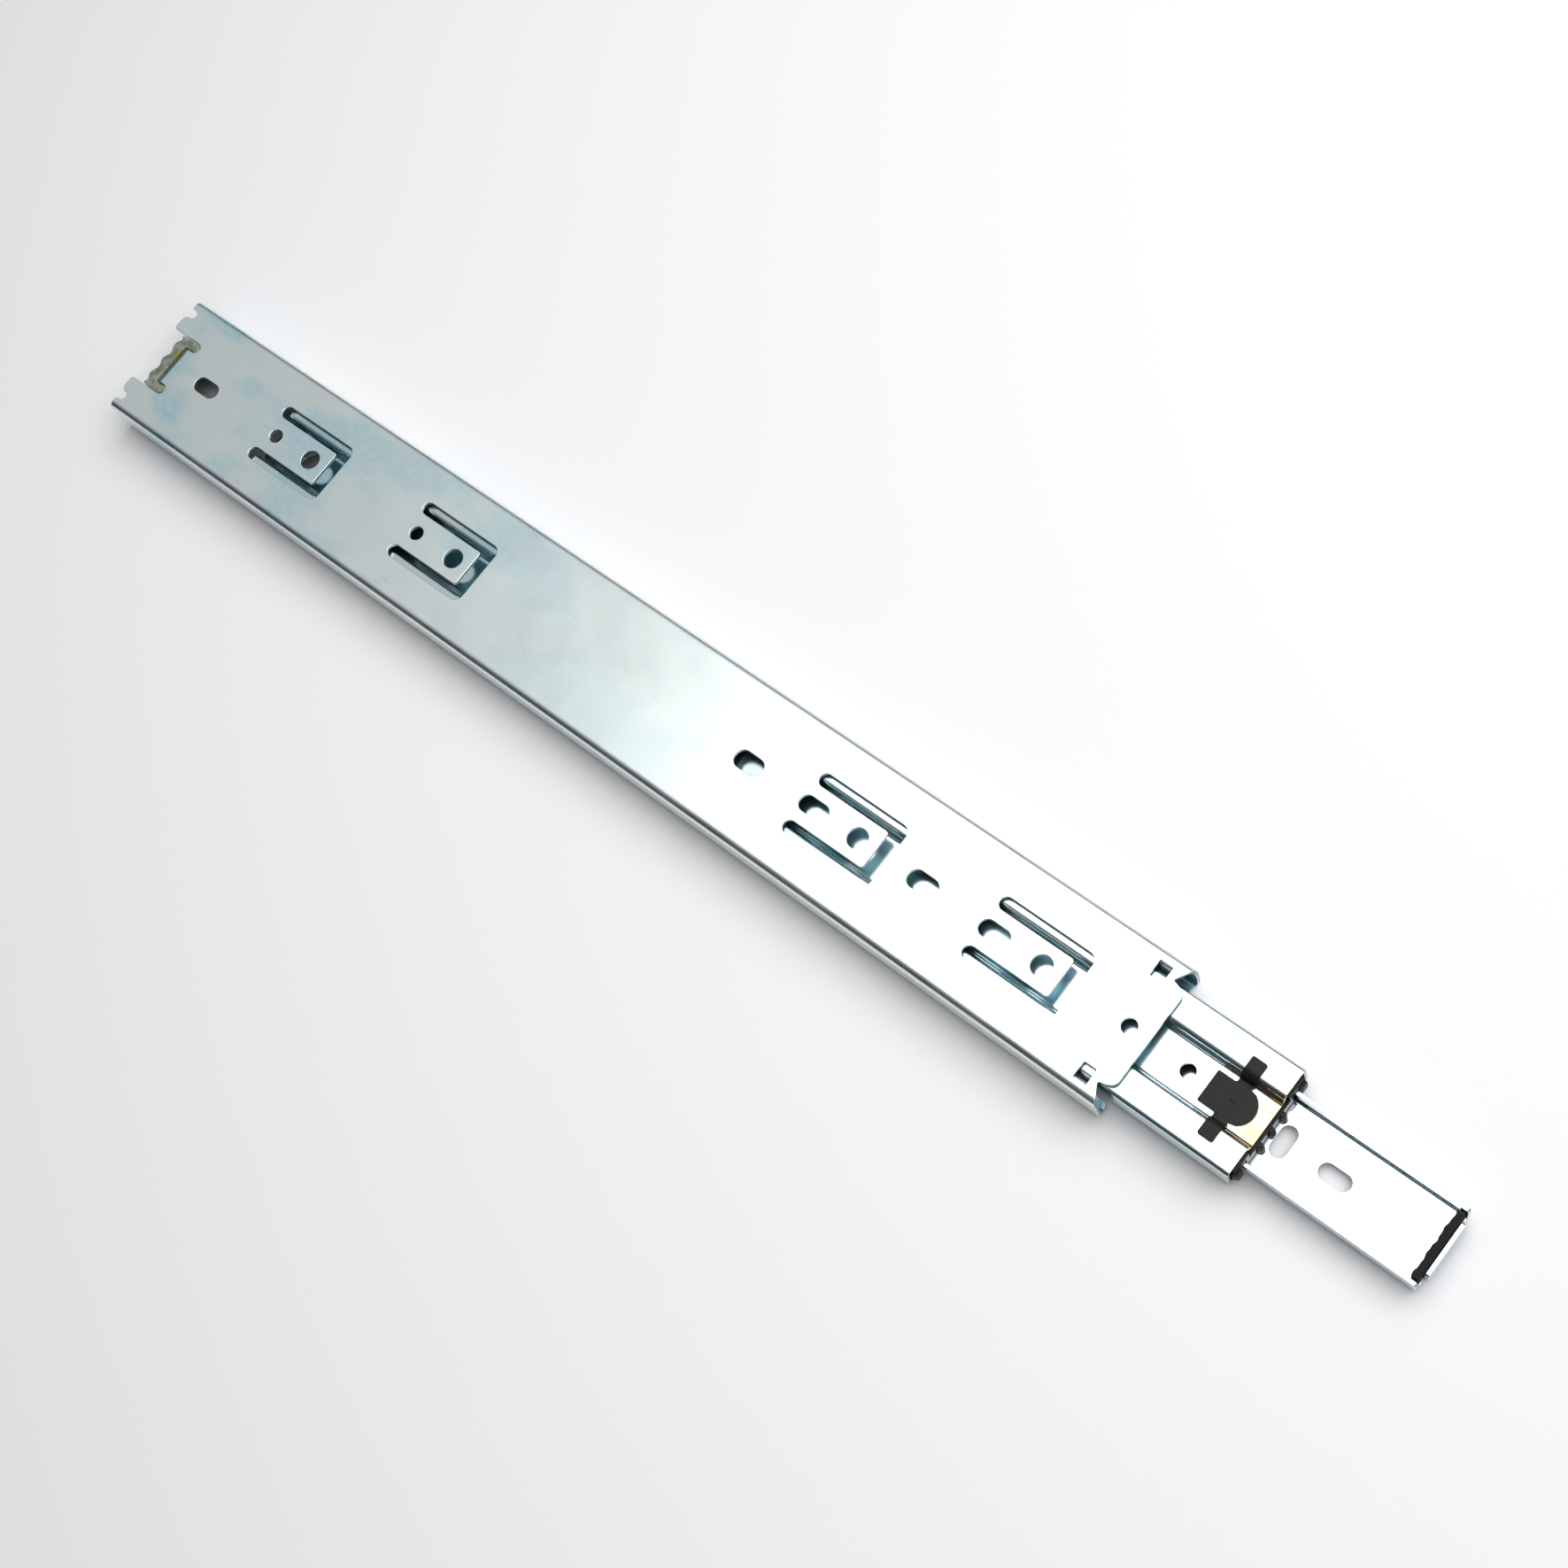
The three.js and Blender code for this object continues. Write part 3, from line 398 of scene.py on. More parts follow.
def station_at(runs, y):
    """How far along the middle line a place y out from the centre lies, while y still grows."""
    low, high = 0.0, run_length(runs)
    for _ in range(40):
        middle = (low + high) / 2
        if on_section(runs, middle, 0)[0] < y:
            low = middle
        else:
            high = middle
    return low


# %% [markdown]
# The balls run in shallow tracks pressed into the flanges. A track is a round-bottomed valley in
# one face of the sheet, so it moves only that face's points, by the depth of a circle there.

# %% Ball tracks
class Track:
    """A ball track pressed into one face of a flange, centred at height z on the section."""

    def __init__(self, runs, z, radius, depth, face):
        start, _, at, angle, _ = [r for r in runs if r[4] == 0 and abs(math.sin(r[3])) > 0.99][0]
        self.centre = start + abs(z - at.y)
        self.radius = radius
        self.depth = depth
        self.face = face
        self.half = math.sqrt(radius**2 - (radius - depth) ** 2)

    def stations(self):
        places = [self.centre + self.half * k / 4 for k in range(-4, 5)]
        return [-p for p in places] + places

    def press(self, s, height, thickness):
        off = abs(abs(s) - self.centre)
        if off >= self.half:
            return 0.0
        share = max(0.0, 0.5 + self.face * height / thickness)
        return -self.face * share * (math.sqrt(self.radius**2 - off**2) - self.radius + self.depth)


def fold_section(bm, runs, thickness, tracks=(), lift=0.0):
    """Folds a flat blank along the section and presses its ball tracks."""
    score(bm, 1, bend_stations(runs))
    for track in tracks:
        score(bm, 1, track.stations())
    for v in bm.verts:
        x, s, height = v.co
        height += lift + sum(track.press(s, height, thickness) for track in tracks)
        y, z = on_section(runs, s, height)
        v.co = (x, y, z)


def fold_tab(bm, fold_x, half, way, rise, radius, middle_z):
    """Folds the tab within half of the centre line and past fold_x: way is its side, rise up or down."""
    quarter = radius * math.pi / 2
    score(bm, 0, [fold_x + way * quarter * i / 8 for i in range(9)])
    for v in bm.verts:
        past = way * (v.co.x - fold_x)
        if past <= 0 or abs(v.co.y) > half + WELD:
            continue
        angle = min(past, quarter) / radius
        height = v.co.z - middle_z
        straight = max(0.0, past - quarter)
        x = fold_x + way * radius * math.sin(angle)
        z = middle_z + rise * (radius * (1 - math.cos(angle)) + straight)
        v.co = (x - way * rise * math.sin(angle) * height, v.co.y, z + math.cos(angle) * height)


# %% [markdown]
# ## The cabinet member
# The outer section is screwed to the cabinet's side. Its web carries four lanced mounting tabs,
# each with a system-screw hole and a smaller hole or slot behind it, and slots for adjustment.
# At the front the web's corners are rounded back to a small notch, and the flanges' ends slope.
# At the rear the web has two ears, two slots and a folded end tab that carries a bumper.

# %% Sizes of the cabinet member
CABINET_SHEET = 1.2
CABINET_HALF = CAD["cabinet_member"][1].y
WEB_FRONT = CAD["cabinet_member"][1].x
CABINET_FRONT = WEB_FRONT + 1.6
CABINET_REAR = -CABINET_FRONT
TIP_X = CABINET_FRONT - 2.6
CABINET_LIP_Z = CAD["cabinet_member"][0].z
CABINET_LIP_IN = CABINET_HALF - 4.3
OUTER_BALL = (CAD["outer_ball_left_01"][0] + CAD["outer_ball_left_01"][1]) / 2
INNER_BALL = (CAD["inner_ball_left_01"][0] + CAD["inner_ball_left_01"][1]) / 2
TRACK_RADIUS = 2.6
TRACK_DEPTH = 0.225

web_z = -CABINET_SHEET / 2
flange_y = CABINET_HALF - CABINET_SHEET / 2
cabinet_runs = section_runs([
    (0, web_z, 0),
    (flange_y, web_z, 1.7),
    (flange_y, CABINET_LIP_Z + CABINET_SHEET / 2, 1.8),
    (CABINET_LIP_IN, CABINET_LIP_Z + CABINET_SHEET / 2, 0),
])
cabinet_edge = run_length(cabinet_runs)
print("cabinet blank is", round(2 * cabinet_edge, 1), "mm wide")


# %% Cut-outs of a mounting tab
TAB_HALF = 6.3
LANCE_HALF = 10.5
LANCE_BEHIND = 20.3
LANCE_AHEAD = 11.0
TAB_AHEAD = 6.4


def lance(hole_x):
    """The U-shaped cut that frees a mounting tab, open towards the rear on both sides of it."""
    front = hole_x + LANCE_AHEAD
    tip = hole_x + TAB_AHEAD
    end = (LANCE_HALF - TAB_HALF) / 2
    rear = hole_x - LANCE_BEHIND + end
    middle = TAB_HALF + end
    corner = 2.6
    return (
        arc(front - corner, -LANCE_HALF + corner, corner, -90, 0)
        + arc(front - corner, LANCE_HALF - corner, corner, 0, 90)
        + arc(rear, middle, end, 90, 270)
        + arc(tip - 1, TAB_HALF - 1, 1, 90, 0)
        + arc(tip - 1, -TAB_HALF + 1, 1, 0, -90)
        + arc(rear, -middle, end, 90, 270)
    )


# %% Outline and holes of the cabinet member
END_TAB_HALF = 7.0
END_FOLD_X = -189.7
END_TAB_REACH = 12.6
NOTCH_X = CABINET_FRONT - 6
STOP_WINDOW = (CABINET_FRONT - 12.25, CABINET_FRONT - 8.15, 14.4, 19.55)


def cabinet_outline():
    web = WEB_FRONT
    ear = CAD["cabinet_member"][0].x
    half = [(web, 0), (web, 13.2)]
    half += bezier((web, 13.2), (web, 14.9), (web - 1.0, 16.0), (NOTCH_X + 0.8, 16.6))
    half += arc(NOTCH_X + 0.5, 17.1, 0.5, 270, 135)
    half += [(TIP_X - 1.5, 20.45), (TIP_X - 0.9, 21.8), (TIP_X - 0.3, 23.1), (TIP_X, 23.9)]
    half += [(TIP_X, 30.0)] + arc(TIP_X - 1.6, cabinet_edge - 1.0, 1.0, 10, 90)
    half += arc(CABINET_REAR + 0.8, cabinet_edge - 0.8, 0.8, 90, 180)
    half += arc(CABINET_REAR + 0.9, 20.1, 0.9, 180, 262)
    half += arc(CABINET_REAR + 1.6, 17.6, 1.5, 80, -82)
    half += arc(ear + 2.1, 14.0, 2.1, 90, 180)
    half += arc(ear + 1.1, 11.6, 1.1, 180, 270)
    half += arc(-188.35, 8.75, 1.75, 90, -90)
    half += arc(END_FOLD_X - END_TAB_REACH + 1.2, END_TAB_HALF - 1.2, 1.2, 90, 180)
    half += [(END_FOLD_X - END_TAB_REACH, 0)]
    return mirrored(half)


def cabinet_holes():
    holes = []
    for x, slotted in [(163, True), (99, True), (-61, False), (-125, False)]:
        holes.append(lance(x))
        holes.append(hole(x, 0, 6.4))
        holes.append(slot(x - 16, 0, 10, 5.2) if slotted else hole(x - 16, 0, 4.6))
    holes += [slot(x, 0, 10.1, 5.7) for x in (58.8, 122.2)]
    holes.append(slot(-174.4, 0, 9.9, 5.3))
    holes.append(hole(CABINET_FRONT - 8.2, 0, 4.6))
    x0, x1, inner, outer = STOP_WINDOW
    for low, high in ((inner, outer), (-outer, -inner)):
        window = arc(x1 - 0.5, low + 0.5, 0.5, -90, 0) + arc(x1 - 0.5, high - 0.5, 0.5, 0, 90)
        window += arc(x0 + 0.5, high - 0.5, 0.5, 90, 180) + arc(x0 + 0.5, low + 0.5, 0.5, 180, 270)
        holes.append(window)
    return holes


# %% [markdown]
# The cage stops are small tongues cut from the web at the front corners and bent down into the
# ball track. Each is a little blank of its own, folded along a path that starts inside the
# web's thickness, and is joined to the section.

# %% Build the cabinet member
STOP_SHEET = 0.9
CABINET_EDGE = 0.16


def stop_tongue(side):
    x0, x1, _, outer = STOP_WINDOW
    path = section_runs([(outer + 1.0, web_z, 0), (outer - 0.5, web_z, 0.7), (outer - 0.5, -4.2, 0)])
    length = run_length(path)
    tip = [
        (x1 - 0.2, 0), (x1 - 0.2, length - 0.6), (x1 - 0.8, length),
        (x0 + 0.8, length), (x0 + 0.2, length - 0.6), (x0 + 0.2, 0),
    ]
    bm = cut_blank(tip, [], STOP_SHEET)
    score(bm, 1, [s for s in bend_stations(path) if s > 0])
    for v in bm.verts:
        y, z = on_section(path, v.co.y, -v.co.z)
        v.co = (v.co.x, side * y, z)
    if side < 0:
        bmesh.ops.reverse_faces(bm, faces=bm.faces)
    return bm


def joined(*parts):
    """Several bmeshes as one."""
    whole = bmesh.new()
    for part in parts:
        mesh = bpy.data.meshes.new("part")
        part.to_mesh(mesh)
        part.free()
        whole.from_mesh(mesh)
        bpy.data.meshes.remove(mesh)
    return whole


def make_cabinet_member():
    track = Track(cabinet_runs, OUTER_BALL.z, TRACK_RADIUS, TRACK_DEPTH, face=-1)
    bm = cut_blank(cabinet_outline(), cabinet_holes(), CABINET_SHEET, edge=CABINET_EDGE)
    fold_section(bm, cabinet_runs, CABINET_SHEET, [track])
    fold_tab(bm, END_FOLD_X, END_TAB_HALF, way=-1, rise=-1, radius=1.7, middle_z=web_z)
    return to_piece(joined(bm, stop_tongue(1), stop_tongue(-1)), "cabinet_section")


cabinet_section = make_cabinet_member()

# %% [markdown]
# ## The intermediate member
# The middle section carries balls on both faces of its flanges. Its web dips into a recess that
# clears the screw heads. The same fold helper makes it from its own middle line.

# %% Sizes of the intermediate member
INTERMEDIATE_SHEET = 1.1
MIDDLE_LOW, MIDDLE_HIGH = CAD["intermediate_member"]
RIDGE_Z = MIDDLE_HIGH.z - INTERMEDIATE_SHEET / 2
FLOOR_Z = RIDGE_Z - 3.5
middle_flange = MIDDLE_HIGH.y - INTERMEDIATE_SHEET / 2
RECESS_CORNER = 7.09
middle_runs = section_runs([
    (0, FLOOR_Z, 0),
    (RECESS_CORNER, FLOOR_Z, 1.3),
    (RECESS_CORNER + 1.1, RIDGE_Z, 1.5),
    (middle_flange, RIDGE_Z, 1.0),
    (middle_flange, MIDDLE_LOW.z + INTERMEDIATE_SHEET / 2, 1.0),
    (MIDDLE_HIGH.y - 4, MIDDLE_LOW.z + INTERMEDIATE_SHEET / 2, 0),
])
middle_edge = run_length(middle_runs)
MIDDLE_EDGE_ROLL = 0.14
MIDDLE_HOLE = 4.4
MIDDLE_HOLES_AT = (24.8, 184.8)
ACCESS_HOLE = 8.6
ACCESS_HOLE_AT = 361.6


def make_intermediate_member():
    front, rear = MIDDLE_HIGH.x, MIDDLE_LOW.x
    flange = [r for r in middle_runs if r[4] == 0 and math.sin(r[3]) < -0.99]
    tracks = [
        Track(flange, OUTER_BALL.z, TRACK_RADIUS, TRACK_DEPTH, face=1),
        Track(flange, INNER_BALL.z, TRACK_RADIUS, TRACK_DEPTH, face=-1),
    ]
    half = [(front, 0), (front, middle_edge - 0.8)]
    half += arc(front - 0.8, middle_edge - 0.8, 0.8, 0, 90)
    half += arc(rear + 0.8, middle_edge - 0.8, 0.8, 90, 180)
    half += [(rear, 0)]
    holes = [hole(front - d, 0, MIDDLE_HOLE) for d in MIDDLE_HOLES_AT]
    holes.append(hole(front - ACCESS_HOLE_AT, 0, ACCESS_HOLE))
    bm = cut_blank(mirrored(half), holes, INTERMEDIATE_SHEET, edge=MIDDLE_EDGE_ROLL)
    fold_section(bm, middle_runs, INTERMEDIATE_SHEET, tracks)
    return to_piece(bm, "intermediate_section")


intermediate_section = make_intermediate_member()

# %% [markdown]
# ## The drawer member
# The inner section is a plain channel that faces the other way: its web lies on the drawer and
# its flanges rise into the slide. Its front end is folded up into a stop tab.

# %% Build the drawer member
DRAWER_SHEET = 1.2
DRAWER_LOW, DRAWER_HIGH = CAD["drawer_member"]
DRAWER_FRONT = DRAWER_HIGH.x - DRAWER_SHEET
DRAWER_WEB_Z = DRAWER_LOW.z + DRAWER_SHEET / 2
DRAWER_RIM_Z = DRAWER_LOW.z + 6.8
DRAWER_FOLD = 1.3
DRAWER_EDGE_ROLL = 0.15
DRAWER_HOLE = 4.6
RIVET_HOLE = 3.8
drawer_flange = DRAWER_HIGH.y - DRAWER_SHEET / 2
drawer_runs = section_runs([
    (0, DRAWER_WEB_Z, 0),
    (drawer_flange, DRAWER_WEB_Z, DRAWER_FOLD),
    (drawer_flange, DRAWER_RIM_Z, 0),
])
drawer_edge = run_length(drawer_runs)


def make_drawer_member():
    rear = DRAWER_LOW.x
    tab_half = 8.3
    fold_x = DRAWER_HIGH.x - DRAWER_SHEET / 2 - DRAWER_FOLD
    tab_rise = DRAWER_HIGH.z - DRAWER_WEB_Z if DRAWER_HIGH.z > DRAWER_RIM_Z else 6.1
    reach = DRAWER_FOLD * math.pi / 2 + tab_rise - DRAWER_FOLD
    tab_x = fold_x + reach
    half = [(tab_x, 0)] + arc(tab_x - 0.8, tab_half - 0.8, 0.8, 0, 90)
    half += [(DRAWER_FRONT - 1.2, tab_half), (DRAWER_FRONT - 1.2, tab_half + 0.5)]
    half += [(DRAWER_FRONT - 0.2, tab_half + 0.9), (DRAWER_FRONT, tab_half + 1.6)]
    half += arc(DRAWER_FRONT - 0.7, drawer_edge - 0.7, 0.7, 0, 90)
    half += arc(rear + 0.7, drawer_edge - 0.7, 0.7, 90, 180)
    half += [(rear, 0)]
    holes = [slot(DRAWER_FRONT - d, 0, 9.5, 4.9) for d in (32, 224, 352)]
    holes.append(slot(DRAWER_FRONT - 47.7, 0, 9.5, 4.9, across=True))
    holes += [hole(DRAWER_FRONT - d, 0, DRAWER_HOLE) for d in (96, 288)]
    rivet = (CAD["lever_rivet"][0] + CAD["lever_rivet"][1]) / 2
    holes.append(hole(rivet.x, 0, RIVET_HOLE))
    track = Track(drawer_runs, INNER_BALL.z, TRACK_RADIUS, TRACK_DEPTH, face=-1)
    bm = cut_blank(mirrored(half), holes, DRAWER_SHEET, edge=DRAWER_EDGE_ROLL)
    fold_section(bm, drawer_runs, DRAWER_SHEET, [track])
    fold_tab(bm, fold_x, tab_half, way=1, rise=1, radius=DRAWER_FOLD, middle_z=DRAWER_WEB_Z)
    return to_piece(bm, "drawer_section")


drawer_section = make_drawer_member()

# %% [markdown]
# ## The stop clip
# A thin dark plastic clip lies in the recess near the front and its two arms climb the recess
# walls onto the ridges. It is a flat plate folded along the intermediate member's own middle
# line, lifted by the two sheets' half thicknesses and a small gap. A low round boss with a short
# bar is moulded on it.

# %% Build the stop clip
CLIP_SHEET = 0.5
CLIP_LIFT = INTERMEDIATE_SHEET / 2 + 0.25 + CLIP_SHEET / 2
BOSS_RINGS = [(1.0, 0.0), (1.0, 0.4), (0.92, 0.75), (0.75, 0.95), (0.45, 1.0)]


def clip_outline():
    front = MIDDLE_HIGH.x - 3.9
    back = MIDDLE_HIGH.x - 18.5
    arm_front = MIDDLE_HIGH.x - 8.15
    arm_back = MIDDLE_HIGH.x - 12.85
    nose = 5.6
    reach = station_at(middle_runs, 12.5)
    neck = math.degrees(math.asin(4.55 / nose))
    half = arc(front - nose, 0, nose, 0, neck + 4)
    half += [(arm_front - 0.5, 5.3), (arm_front, 6.0)]
    half += arc(arm_front - 0.6, reach - 0.6, 0.6, 0, 90)
    half += arc(arm_back + 0.6, reach - 0.6, 0.6, 90, 180)
    half += arc(arm_back - 0.6, 5.5, 0.6, 0, -90)
    half += arc(back + 0.3, 4.6, 0.3, 90, 180) + [(back, 0)]
    return mirrored(half)


def boss(x, y, base, radius, rise, steps=20):
    """A low domed boss, standing on base."""
    bm = bmesh.new()
    loops = []
    for share, height in BOSS_RINGS:
        ring = []
        for k in range(steps):
            turn = math.tau * k / steps
            out = radius * share
            at = (x + out * math.cos(turn), y + out * math.sin(turn), base + rise * height)
            ring.append(bm.verts.new(at))
        loops.append(ring)
    for low, high in zip(loops, loops[1:]):
        for k in range(steps):
            bm.faces.new((low[k], low[(k + 1) % steps], high[(k + 1) % steps], high[k]))
    bm.faces.new(loops[-1])
    bm.faces.new(list(reversed(loops[0])))
    return bm


def make_stop_clip():
    bm = cut_blank(clip_outline(), [], CLIP_SHEET, edge=0.12)
    fold_section(bm, middle_runs, CLIP_SHEET, lift=CLIP_LIFT)
    top = FLOOR_Z + CLIP_LIFT + CLIP_SHEET / 2
    centre = MIDDLE_HIGH.x - 10.6
    oval = boss(centre, 0, top - 0.05, 0.95, 0.16)
    for v in oval.verts:
        v.co.y *= 0.6
    bar = boss(centre, 0, top + 0.08, 0.45, 0.12)
    for v in bar.verts:
        v.co.y *= 0.4
    return to_piece(joined(bm, oval, bar), "front_stop_clip")


stop_clip = make_stop_clip()

# %% [markdown]
# ## Bumpers, strip, lever and rivet
# The moulded pieces are thick shapes, so each is an outline drawn in the plane where it is
# simplest, given its thickness with a wider rolled edge, and turned into place.

# %% Stand an extruded outline on its side
def extruded(outline, low, high, edge, holes=()):
    """An outline in X and Y, from low to high in Z, with rounded edges."""
    bm = cut_blank(outline, list(holes), high - low, edge=edge, rounds=3)
    for v in bm.verts:
        v.co.z += (low + high) / 2
    return bm


def along_x(outline, rear, front, edge):
    """An outline in Y and Z, drawn out along X from rear to front."""
    bm = cut_blank(outline, [], front - rear, edge=edge, rounds=3)
    for v in bm.verts:
        y, z, x = v.co
        v.co = (x + (rear + front) / 2, y, z)
    return bm


# %% Front bumper: a body with round bumps that meets the drawer member's end strip
BUMP_RADIUS = 1.25
BUMP_PITCH = 5.0


def make_front_bumper():
    low, high = CAD["front_bumper"]
    floor_under = FLOOR_Z - INTERMEDIATE_SHEET / 2
    body_front = MIDDLE_HIGH.x + 0.8
    top = floor_under - 0.3
    bottom = low.z
    roof = high.z
    upright_out = drawer_flange - DRAWER_SHEET / 2 - 0.6
    upright_in = upright_out - 1.4
    lug_in = DRAWER_HIGH.y + 0.6
    lug_out = high.y
    over_rim = DRAWER_RIM_Z + 0.7
    lug_low = MIDDLE_LOW.z + INTERMEDIATE_SHEET + 0.4
    half = [
        (upright_out, bottom), (upright_out, over_rim), (lug_in, over_rim), (lug_in, lug_low),
        (lug_out, lug_low), (lug_out, roof - 0.8), (lug_out - 0.8, roof), (upright_in, roof),
        (upright_in, top),
    ]
    outline = half + [(-y, z) for y, z in reversed(half)]
    parts = [along_x(outline, low.x, body_front, 0.15)]
    x = high.x - BUMP_RADIUS
    foot = bottom + 0.3
    post_rise = top - 0.2 - foot
    for y in (-BUMP_PITCH, 0, BUMP_PITCH):
        parts.append(boss(x, y, foot, BUMP_RADIUS, post_rise * 0.62, 24))
        parts.append(boss(x, y, foot + post_rise * 0.5, BUMP_RADIUS * 0.82, post_rise * 0.5, 24))
    for side in (1, -1):
        a, b = sorted((side * (lug_in + 0.3), side * (lug_out - 0.3)))
        lug = [(a, lug_low + 0.5), (b, lug_low + 0.5), (b, over_rim - 0.4), (a, over_rim - 0.4)]
        parts.append(along_x(lug, body_front - 1, MIDDLE_HIGH.x + 1.7, 0.25))
    return to_piece(joined(*parts), "front_bumper_moulding")


front_bumper = make_front_bumper()


# %% Rear bumper: a wavy band wrapped round the folded end tab
def make_rear_bumper():
    low, high = CAD["rear_bumper"]
    half = high.y
    tab_half = END_TAB_HALF + 0.3
    band_front = -192.3
    arm_end = high.x
    wave_steps = 40
    outline = []
    for k in range(wave_steps + 1):
        y = half - 1.2 - 2 * (half - 1.2) * k / wave_steps
        outline.append((-195.75 - 0.55 * math.cos(y / (half - 1.2) * 3 * math.pi), y))
    outline += arc(-194.6, -half + 1.3, 1.3, 205, 270)
    outline += arc(arm_end - 1.5, -half + 1.5, 1.5, 270, 360)
    outline += arc(arm_end - 1.2, -tab_half - 1.2, 1.2, 0, 90)
    outline += [(band_front, -tab_half), (band_front, tab_half)]
    outline += arc(arm_end - 0.9, tab_half + 0.9, 0.9, 270, 360)
    outline += arc(arm_end - 2.0, half - 2.0, 2.0, 0, 90)
    outline += arc(-194.6, half - 1.3, 1.3, 90, 155)
    wrap = extruded(outline, low.z, high.z, 0.25)
    back, front, side = -190.4, arm_end - 0.05, half - 0.2
    pad = [(back, -side), (front, -side), (front, side), (back, side)]
    body = extruded(pad, low.z + 0.05, -CABINET_SHEET - 1.4, 0.25)
    return to_piece(joined(wrap, body), "rear_bumper_moulding")


rear_bumper = make_rear_bumper()


# %% End strip, release lever and rivet
def make_end_strip():
    low, high = CAD["drawer_end_bumper"]
    half = high.y
    steps = 40
    outline = []
    for k in range(steps + 1):
        y = half - 2 * half * k / steps
        ripple = 0.16 * math.sin(y * 0.9 + 0.6) + 0.1 * math.sin(y * 2.3)
        outline.append((low.x + 0.28 + ripple, y))
    outline += [(high.x, -half), (high.x, half)]
    return to_piece(extruded(outline, low.z, high.z, 0.2), "end_strip")


def make_release_lever():
    low, high = CAD["release_lever"]
    hub, arm = 5.0, 3.0
    pivot = low.x + 12
    half = [(high.x, 0)] + arc(high.x - 1.2, arm - 1.2, 1.2, 0, 90) + [(pivot + 16, arm)]
    half += bezier((pivot + 16, arm), (pivot + 8, arm), (pivot + 8, hub), (pivot, hub))
    half += arc(low.x + hub, 0, hub, 90, 180)
    slit = slot(pivot + 22, 1.3, 24, 1)
    plate = extruded(mirrored(half), low.z, high.z, 0.3, [hole(pivot, 0, RIVET_HOLE), slit])
    grip = extruded(slot(low.x + 5, 0, 5.4, 3.4), high.z - 0.2, high.z - 0.02, 0.08)
    return to_piece(joined(plate, grip), "release_lever_moulding")


def make_lever_rivet():
    low, high = CAD["lever_rivet"]
    centre = (low + high) / 2
    shank = extruded(hole(centre.x, 0, 3.2), low.z, high.z - 0.4, 0.15)
    head = boss(centre.x, 0, high.z - 0.5, 2.9, 0.5, 36)
    return to_piece(joined(shank, head), "rivet")


end_strip = make_end_strip()
release_lever = make_release_lever()
lever_rivet = make_lever_rivet()

# %% [markdown]
# ## Ball cages and balls
# A cage is one thin strip: two rails with round pockets, joined by bridges, so it is cut as one
# H-shaped blank and folded like the sections. The balls are exact spheres from a fine sphere
# mesh, which every ball of the slide shares.

# %% Build the cages
CAGE_SHEET = 0.5
POCKET = 5.0
BALLS_PER_ROW = 10
BRIDGE_INSET = 60.0
BRIDGE_HALF = 4.0


def make_cage(name, node, stage, path):
    low, high = CAD[node]
    runs = section_runs(path)
    edge = run_length(runs)
    rail = runs[-1][0] - runs[-2][1] - 0.6
    bridges = [
        (middle - BRIDGE_HALF, middle + BRIDGE_HALF)
        for middle in (low.x + BRIDGE_INSET, high.x - BRIDGE_INSET)
    ]
    half = [(bridges[1][1], 0)] + arc(bridges[1][1] + 1.5, rail - 1.5, 1.5, 180, 90) + [(high.x, rail)]
    half += arc(high.x - 1, edge - 1, 1, 0, 90) + arc(low.x + 1, edge - 1, 1, 90, 180)
    half += [(low.x, rail)] + arc(bridges[0][0] - 1.5, rail - 1.5, 1.5, 90, 0) + [(bridges[0][0], 0)]
    window = arc(bridges[1][0] - 1.5, rail - 1.5, 1.5, 0, 90)
    window += arc(bridges[0][1] + 1.5, rail - 1.5, 1.5, 90, 180)
    holes = [window + [(x, -y) for x, y in reversed(window)]]
    for k in range(BALLS_PER_ROW):
        ball_low, ball_high = CAD[f"{stage}_ball_left_{k + 1:02d}"]
        ball = (ball_low + ball_high) / 2
        s = runs[-1][0] + abs(ball.z - runs[-1][2].y)
        holes += [hole(ball.x, s, POCKET), hole(ball.x, -s, POCKET)]
    bm = cut_blank(mirrored(half), holes, CAGE_SHEET, edge=0.08)
    fold_section(bm, runs, CAGE_SHEET)
    return to_piece(bm, name)


outer_low, outer_high = CAD["outer_cage"]
inner_low, inner_high = CAD["inner_cage"]
inner_bridge = FLOOR_Z - INTERMEDIATE_SHEET / 2 - 0.5
outer_cage = make_cage("outer_cage_strip", "outer_cage", "outer", [
    (0, outer_high.z - 0.25, 0),
    (OUTER_BALL.y, outer_high.z - 0.25, 0.5),
    (OUTER_BALL.y, outer_low.z, 0),
])
inner_cage = make_cage("inner_cage_strip", "inner_cage", "inner", [
    (0, inner_bridge, 0),
    (10.05, inner_bridge, 0.4),
    (10.05, inner_high.z - 0.25, 0.4),
    (INNER_BALL.y, inner_high.z - 0.25, 0.4),
    (INNER_BALL.y, inner_low.z, 0),
])


# %% Make the balls
def make_balls():
    bm = bmesh.new()
    radius = (CAD["outer_ball_left_01"][1].x - CAD["outer_ball_left_01"][0].x) / 2
    bmesh.ops.create_icosphere(bm, subdivisions=4, radius=radius * MM)
    mesh = bpy.data.meshes.new("ball")
    bm.to_mesh(mesh)
    bm.free()
    mesh.polygons.foreach_set("use_smooth", [True] * len(mesh.polygons))
    balls = []
    for node in sorted(name for name in CAD if "_ball_" in name):
        stage, _, side, number = node.split("_")
        ball = bpy.data.objects.new(f"{stage}_{side}_ball_{number}", mesh)
        ball.location = (CAD[node][0] + CAD[node][1]) / 2 * MM
        scene.collection.objects.link(ball)
        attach(ball, stage + "_cage")
        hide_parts(node)
        balls.append(ball)
    print(len(balls), "balls")
    return mesh


ball_mesh = make_balls()

